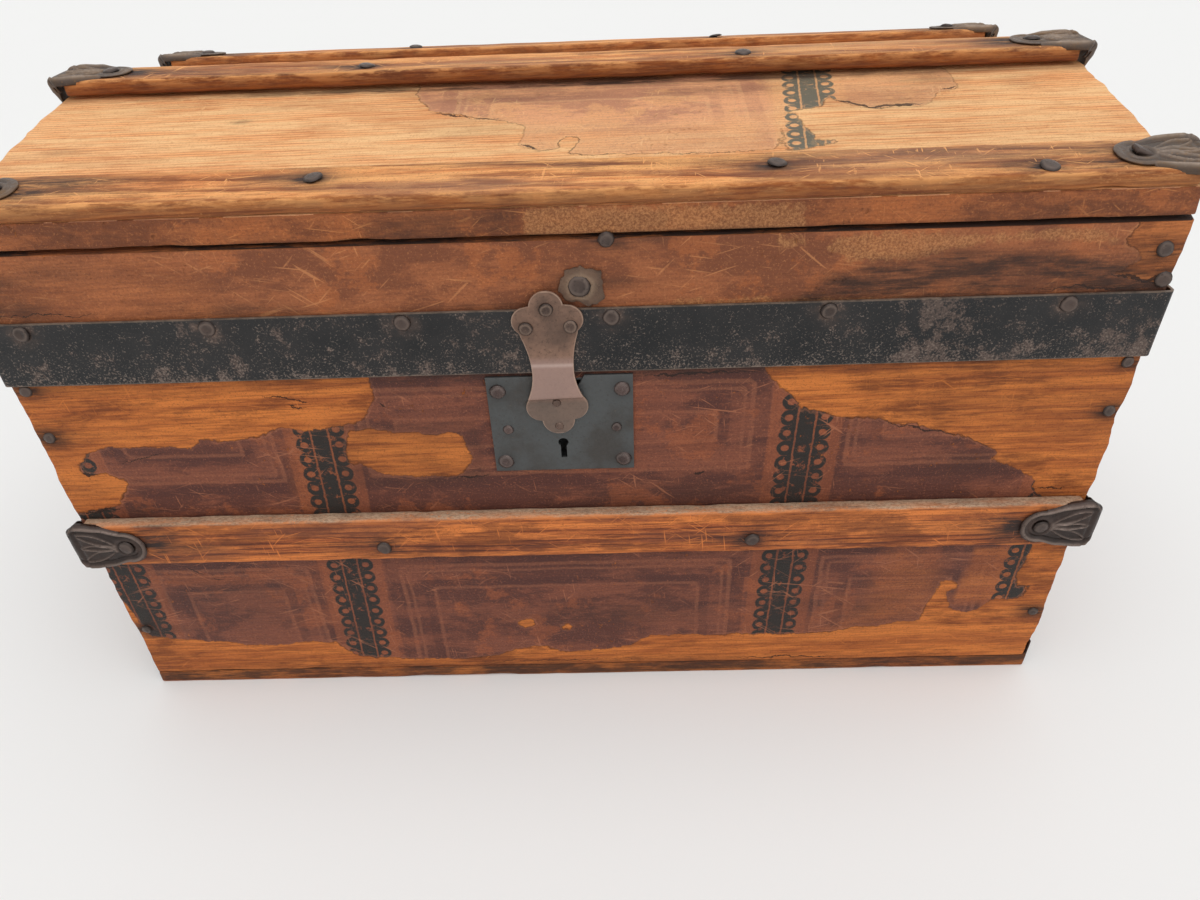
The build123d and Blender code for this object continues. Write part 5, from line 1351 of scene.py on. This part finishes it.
def clamp_half_width(run):
    """Half the face's width, run mm from the nose's tip towards the end of the box."""
    if run < clamp_nose:
        return math.sqrt(max(0.0, clamp_nose ** 2 - (clamp_nose - run) ** 2))
    if run < 17.0:
        return clamp_nose + 2.4 * eased((run - clamp_nose) / 9.0)
    wide = 10.4 + 0.9 * min(1.0, (run - 17.0) / 6.0)
    corner = max(0.0, min(3.0, run - 25.6))
    return wide - (3.2 - math.sqrt(3.2 ** 2 - corner ** 2))


def clamp_relief(run, aside, half, rolled):
    """The stamping: a rolled border, three veined petals and the boss of the nail.

    rolled is how strong the border is round the nose.
    """
    hub = math.hypot(clamp_nose - run, aside)
    border = clamp_nose - hub if run < clamp_nose else half - abs(aside)
    share = rolled + (1.0 - rolled) * part((run - 9.0) / 6.0)
    rise = 0.95 * share * math.exp(-((border - 1.2) / 0.8) ** 2)
    rise -= 0.45 * share * math.exp(-((border - 3.0) / 0.7) ** 2)
    inner = part((border - 2.4) / 0.8)
    share = part((run - 11.0) / 16.0)
    fade = min(1.0, share / 0.15) * min(1.0, (1.0 - share) / 0.08)
    for spread in (-1.0, 0.0, 1.0):
        width = math.sin(math.pi * share ** 1.2) * (3.4 if spread else 2.0)
        for edge in (-width, width):
            away = aside - (spread * (0.9 + 6.0 * share) + edge * 0.62)
            rise += inner * 0.75 * math.exp(-(away / 0.42) ** 2) * fade
    rise += 0.35 * math.exp(-((hub - 4.2) / 0.7) ** 2) * (run < 16.0)
    rise -= 0.35 * math.exp(-(hub / 2.6) ** 2)
    return rise


def clamp_path(run, drop):
    """Where the middle line goes: over the slat's face, round its end and down the box's end.

    Gives the place along x inwards from the clamp's tip, the height over the board, and the
    direction out of the sheet as (outward along x, out of the board).
    """
    stations = (
        (0.0, 173.0, 6.5), (clamp_fold, 201.6, 6.5), (30.2, 203.0, 5.9), (31.2, 203.4, 4.6),
        (34.6, 203.4, 1.2), (38.4, 201.4, -1.6 - drop), (40.4, 200.75, -3.6 - drop),
        (clamp_length, 200.75, -9.4 - drop),
    )
    for (a0, x0, t0), (a1, x1, t1) in zip(stations, stations[1:]):
        if run <= a1:
            share = (run - a0) / (a1 - a0)
            return x0 + share * (x1 - x0), t0 + share * (t1 - t0), Vector((t0 - t1, x1 - x0)).normalized()
    return stations[-1][1], stations[-1][2], Vector((1.0, 0.0))


def clamp(node, body, seat, up_way, out_way, side, seed, drop):
    """One stamped iron clamp, bent round the end of a slat."""
    rolled = 1.0 if body == "trunk_body" else 0.25
    bm = bmesh.new()
    bmesh.ops.create_grid(bm, x_segments=96, y_segments=64, size=0.5)
    rub_and_sheen, hollow = wear_layers(bm)
    for vert in bm.verts:
        run = 0.12 + (vert.co.x + 0.5) * (clamp_length - 0.12)
        half = clamp_half_width(run)
        skirt = 1.7 * part((run - 8.5) / 3.0) + 3.6 * part((run - 25.6) / 2.4)
        skirt = min(skirt, max(2.0, 5.3 - 1.4 * max(0.0, run - clamp_fold)), max(0.0, (39.0 - run) * 0.6))
        if run > clamp_fold:
            half += (7.4 - half) * eased(part((run - clamp_fold) / 8.0))
        if run > clamp_tail:
            half *= math.sqrt(max(0.02, 1.0 - ((run - clamp_tail) / 3.2) ** 2))
        reach = vert.co.y * 2.0 * (half + skirt)
        x, height, normal = clamp_path(run, drop)
        aside = max(-half, min(half, reach))
        bend = 1.5
        turned = abs(reach) - half + bend
        sink = 0.0
        if skirt > 0.05 and turned > 0.0:
            arc = min(turned / bend, 0.5 * math.pi)
            aside = math.copysign(half - bend + bend * math.sin(arc), reach)
            sink = bend * (1.0 - math.cos(arc)) + max(0.0, turned - bend * 0.5 * math.pi)
        flare = clamp_relief(run, aside, half, rolled) * part((30.0 - run) / 2.4)
        flare -= 0.35 * math.exp(-((run - 26.6) / 0.6) ** 2)
        if sink > 0.2:
            flare *= max(0.0, 1.0 - (sink - 0.2) / 0.6)
        # rubbed iron and painted highlight: the raised ribs are marked to be painted paler
        vert[rub_and_sheen] = part((flare - 0.25) / 0.5)
        vert[hollow] = 0.75 * part((0.25 - flare) / 0.3) * (5.0 < run < 30.0)
        dent = 0.22 * ripple((run * mm, aside * mm, seed), 160.0, seed)
        core = Vector((197.5 - x, 0.4 - height))
        pull = part((run - 24.0) / 4.0) * part((38.0 - run) / 4.0)
        inward = (pull * core.normalized() - (1.0 - pull) * normal).normalized()
        sink = min(sink, max(1.0, core.length - 0.6)) if pull > 0.3 else sink
        x += normal.x * (flare + dent) + sink * inward.x
        height += normal.y * (flare + dent) + sink * inward.y
        if run < 31.0:
            height = max(height, 0.25)
        vert.co = Vector((x, aside, height)) * mm
    bmesh.ops.recalc_face_normals(bm, faces=bm.faces)
    if sum(f.normal.z for f in bm.faces) < 0:
        bmesh.ops.reverse_faces(bm, faces=bm.faces)
    turn = Matrix((Vector((float(side), 0.0, 0.0)), up_way, out_way)).transposed().to_4x4()
    bmesh.ops.transform(bm, matrix=Matrix.Translation(seat) @ turn, verts=bm.verts)
    if side < 0:
        bmesh.ops.reverse_faces(bm, faces=bm.faces)
    finish = "clamp" if body == "trunk_body" else "lid_clamp"
    thing = piece(node + "_stamped", bm, body, node, finish, 60.0)
    sheet = thing.modifiers.new("sheet", "SOLIDIFY")
    sheet.thickness = 0.55 * mm
    sheet.offset = -1.0
    sheet.use_even_offset = False
    return thing


for side, word in ((-1, "left"), (1, "right")):
    for place, body, seed, drop in (
        ("body_slat", "trunk_body", 60, 0.0), ("lid_front", "lid", 64, 0.0), ("lid_ridge", "lid", 68, 1.5),
        ("lid_rear", "lid", 72, 0.0),
    ):
        clamp(place + "_clamp_" + word, body, *seats[place], side, seed + side, drop)

# ---------------------------------------------------------------- band, hasp, lock and the rest

low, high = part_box("lid_band")
bm = node_shape("lid_band")
cut_across(bm, 0, cuts_between(low.x + 4 * mm, high.x - 4 * mm, 4.0))
cut_across(bm, 1, cuts_between(low.y + 4 * mm, high.y, 4.0))
cut_across(bm, 2, cuts_between(low.z, high.z, 3.4, (0.5,)))
bmesh.ops.recalc_face_normals(bm, faces=bm.faces)
halos = [(tip.x / mm, tip.z / mm, 4.2, 3.8, 1.0) for tip, way, *_ in nail_sets["band_nails"] if way.y < -0.5]


def band_values(place):
    rim = min(place.z - low.z, high.z - place.z) / mm
    return {"worn": 1.0 if rim < 0.3 else 0.0, "stain": bruises(halos, place.x / mm, place.z / mm)}


painted(bm, band_values)
for vert in bm.verts:
    dent = 0.14 * mm * ripple(vert.co, 24.0, 80) + 0.05 * mm * ripple(vert.co, 90.0, 81)
    sag = 0.25 * mm * ripple((vert.co.x, vert.co.y, 0.0), 11.0, 82)
    if vert.co.y < -0.1035:
        vert.co.y += dent
    vert.co.z += sag if vert.co.z < 0.17 else 0.6 * sag
piece("lid_band_worn", bm, "lid", "lid_band", "band", 40.0)

low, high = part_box("tin_washer")
bm = node_shape("tin_washer")
cut_across(bm, 0, cuts_between(low.x, high.x, 0.8, (0.4,)))
cut_across(bm, 2, cuts_between(low.z, high.z, 0.8, (0.4,)))
hub = (low + high) / 2
rub_and_sheen, seat = wear_layers(bm)
for vert in bm.verts:
    away = Vector((vert.co.x - hub.x, 0.0, vert.co.z - hub.z))
    reach = away.length / (6.3 * mm)
    ring = math.exp(-((reach - 0.58) / 0.12) ** 2)
    ragged = 0.2 * ripple(away, 260.0, 91) + 0.12 * ripple(away, 700.0, 94)
    vert.co += away * reach * (0.1 + ragged + (0.1 if away.x > 0.0 else 0.0))
    if vert.co.y < -0.1047:
        crumple = 0.35 * abs(ripple(vert.co, 420.0, 92)) + ring * (0.5 + 0.3 * ripple(away, 500.0, 93))
        vert.co.y -= mm * crumple
    vert[rub_and_sheen] = 0.8 * ring
    vert[seat] = 0.7 * part((reach - 0.9) / 0.2)
bmesh.ops.recalc_face_normals(bm, faces=bm.faces)
piece("tin_washer_crumpled", bm, "lid", "tin_washer", "tin", 60.0)


def hasp_half_width(up):
    """Half the hasp's width, up mm over the staple's middle: lobed head, hollow waist and lobed foot."""
    wide = 0.0
    for across, middle, radius in ((0.0, 43.0, 5.8), (6.9, 38.0, 5.3), (5.6, 3.2, 5.6), (0.0, -2.4, 5.9)):
        if abs(up - middle) < radius:
            wide = max(wide, across + math.sqrt(radius ** 2 - (up - middle) ** 2))
    if 7.0 < up < 34.5:
        wide = max(wide, min(9.9, 7.35 + (0.0118 if up > 18.0 else 0.026) * (up - 18.0) ** 2))
    return wide


def hasp_stand_off(up):
    """How far the waist bulges off the plates: a long slope up and a short step down."""
    if up > 20.6 or up < 6.7:
        return 0.0
    return 2.0 * ((20.6 - up) / 12.4 if up > 8.2 else (up - 6.7) / 1.5)


def stamped_hasp():
    """The hasp: one bent sheet between two skins, with rubbed rims and dark rings of soil and painted shade
    round its rivets.
    """
    bottom, top = -8.28, 48.78
    thickness = 1.0
    round_off = 0.3  # radius of the rims, in mm as the rest
    near = [0.0, 0.08, 0.25, 0.5, 0.9, 1.4, 2.0]
    count = 96
    rows = [bottom + gap for gap in near]
    rows += [bottom + 2.0 + (top - bottom - 4.0) * turn / count for turn in range(1, count)]
    rows += [top - gap for gap in reversed(near)]
    columns = 19
    staple_low, staple_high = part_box("hasp_staple")
    middle = (staple_low + staple_high) / 2
    front_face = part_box("hasp")[0].y
    lean = math.radians(2.0)
    across_way = Vector((math.cos(lean), 0.0, math.sin(lean)))
    up_way = Vector((-math.sin(lean), 0.0, math.cos(lean)))
    dirt_and_shade = dirt_and_shade_round("hasp_rivets", 1.6, 0.8)
    bm = bmesh.new()
    rub_and_sheen, seat = wear_layers(bm)
    for back in (False, True):
        skin = bmesh.ops.create_grid(bm, x_segments=columns - 1, y_segments=len(rows) - 1, size=0.5)["verts"]
        for vert in skin:
            up = rows[round((vert.co.y + 0.5) * (len(rows) - 1))]
            half = hasp_half_width(up)
            rims = [gap * min(1.0, half / 2.0) for gap in (0.0, 0.08, 0.25, 0.6)]
            inner = half - rims[-1]
            places = [-half + gap for gap in rims] + [inner * (turn / 6.0 - 1.0) for turn in range(1, 12)]
            places += [half - gap for gap in reversed(rims)]
            across = places[round((vert.co.x + 0.5) * (columns - 1))]
            edge = min(half - abs(across), up - bottom, top - up)
            drop = round_off - math.sqrt(round_off ** 2 - (round_off - edge) ** 2) if edge < round_off else 0.0
            place = middle + (across_way * across + up_way * up) * mm
            out = hasp_stand_off(up) - (thickness - drop if back else drop) + 0.06 * ripple(place, 90.0, 95)
            place.y = front_face + (2.0 - out) * mm
            vert.co = place
            vert[rub_and_sheen] = part(1.2 - edge / 0.4)
            vert[seat] = bruises(dirt_and_shade, place.x / mm, place.z / mm)
    bmesh.ops.bridge_loops(bm, edges=[edge for edge in bm.edges if edge.is_boundary])
    bmesh.ops.recalc_face_normals(bm, faces=bm.faces)
    return piece("hasp_stamped", bm, "lid", "hasp", "hasp", 32.0)


stamped_hasp()
dressed("lock_plate", "trunk_body", "plate", 0.2, 1.6, "lock_plate_nails")
for node, body, finish, slot, rim in (
    ("hasp_staple", "lid", "rivet", "hasp_metal", 0.2),
    ("lock_case", "trunk_body", "plate", "lock_iron", 0.25),
    ("lock_spring", "trunk_body", "steel", "lock_steel", 0.12),
    ("lock_bolt", "bolt", "steel", "lock_steel", 0.2),
    ("body_hinge_leaf_left", "trunk_body", "hinge", "hinge_iron", 0.2),
    ("body_hinge_leaf_right", "trunk_body", "hinge", "hinge_iron", 0.2),
    ("lid_hinge_leaf_left", "lid", "hinge", "hinge_iron", 0.2),
    ("lid_hinge_leaf_right", "lid", "hinge", "hinge_iron", 0.2),
    ("hinge_pins", "trunk_body", "steel", "lock_steel", 0.1),
    ("bottom_iron_left", "trunk_body", "clamp", "clamp_iron", 0.2),
    ("bottom_iron_right", "trunk_body", "clamp", "clamp_iron", 0.2),
    ("handle_caps_left", "trunk_body", "clamp", "clamp_iron", 0.3),
    ("handle_caps_right", "trunk_body", "clamp", "clamp_iron", 0.3),
    ("leather_handle_left", "trunk_body", "leather", "handle_leather", 0.5),
    ("leather_handle_right", "trunk_body", "leather", "handle_leather", 0.5),
):
    dressed(node, body, finish, rim)


def stitching(side, word):
    """Two rows of thread sunk in the handle's outer face, between its caps."""
    node = "leather_handle_" + word
    leather_shape = bmesh.new()
    leather_shape.from_mesh(nodes[node].data)
    surface = BVHTree.FromBMesh(leather_shape)
    leather_shape.free()
    low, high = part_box(node)
    bm = bmesh.new()
    for row in (-1, 1):
        height = (low.z + high.z) / 2 + row * stitch_row
        for turn in range(-8, 9):
            start = Vector((side * 0.3, turn * 4.0 * mm, height))
            place, normal, _, _ = surface.ray_cast(start, Vector((-side, 0.0, 0.0)))
            if place is None:
                continue
            bead = bmesh.ops.create_uvsphere(bm, u_segments=8, v_segments=6, radius=1.0)["verts"]
            bmesh.ops.scale(bm, vec=Vector((0.32, 0.32, 1.5)) * mm, verts=bead)
            along = normal.cross(Vector((0.0, 0.0, 1.0))).normalized()
            slant = (along + Vector((0.0, 0.0, 0.12 * row))).normalized()
            turned = slant.to_track_quat("Z", "Y").to_matrix().to_4x4()
            bmesh.ops.transform(bm, matrix=Matrix.Translation(place) @ turned, verts=bead)
    bmesh.ops.recalc_face_normals(bm, faces=bm.faces)
    return piece("handle_stitching_" + word, bm, "trunk_body", None, "thread", 60.0)


stitching(-1, "left")
stitching(1, "right")
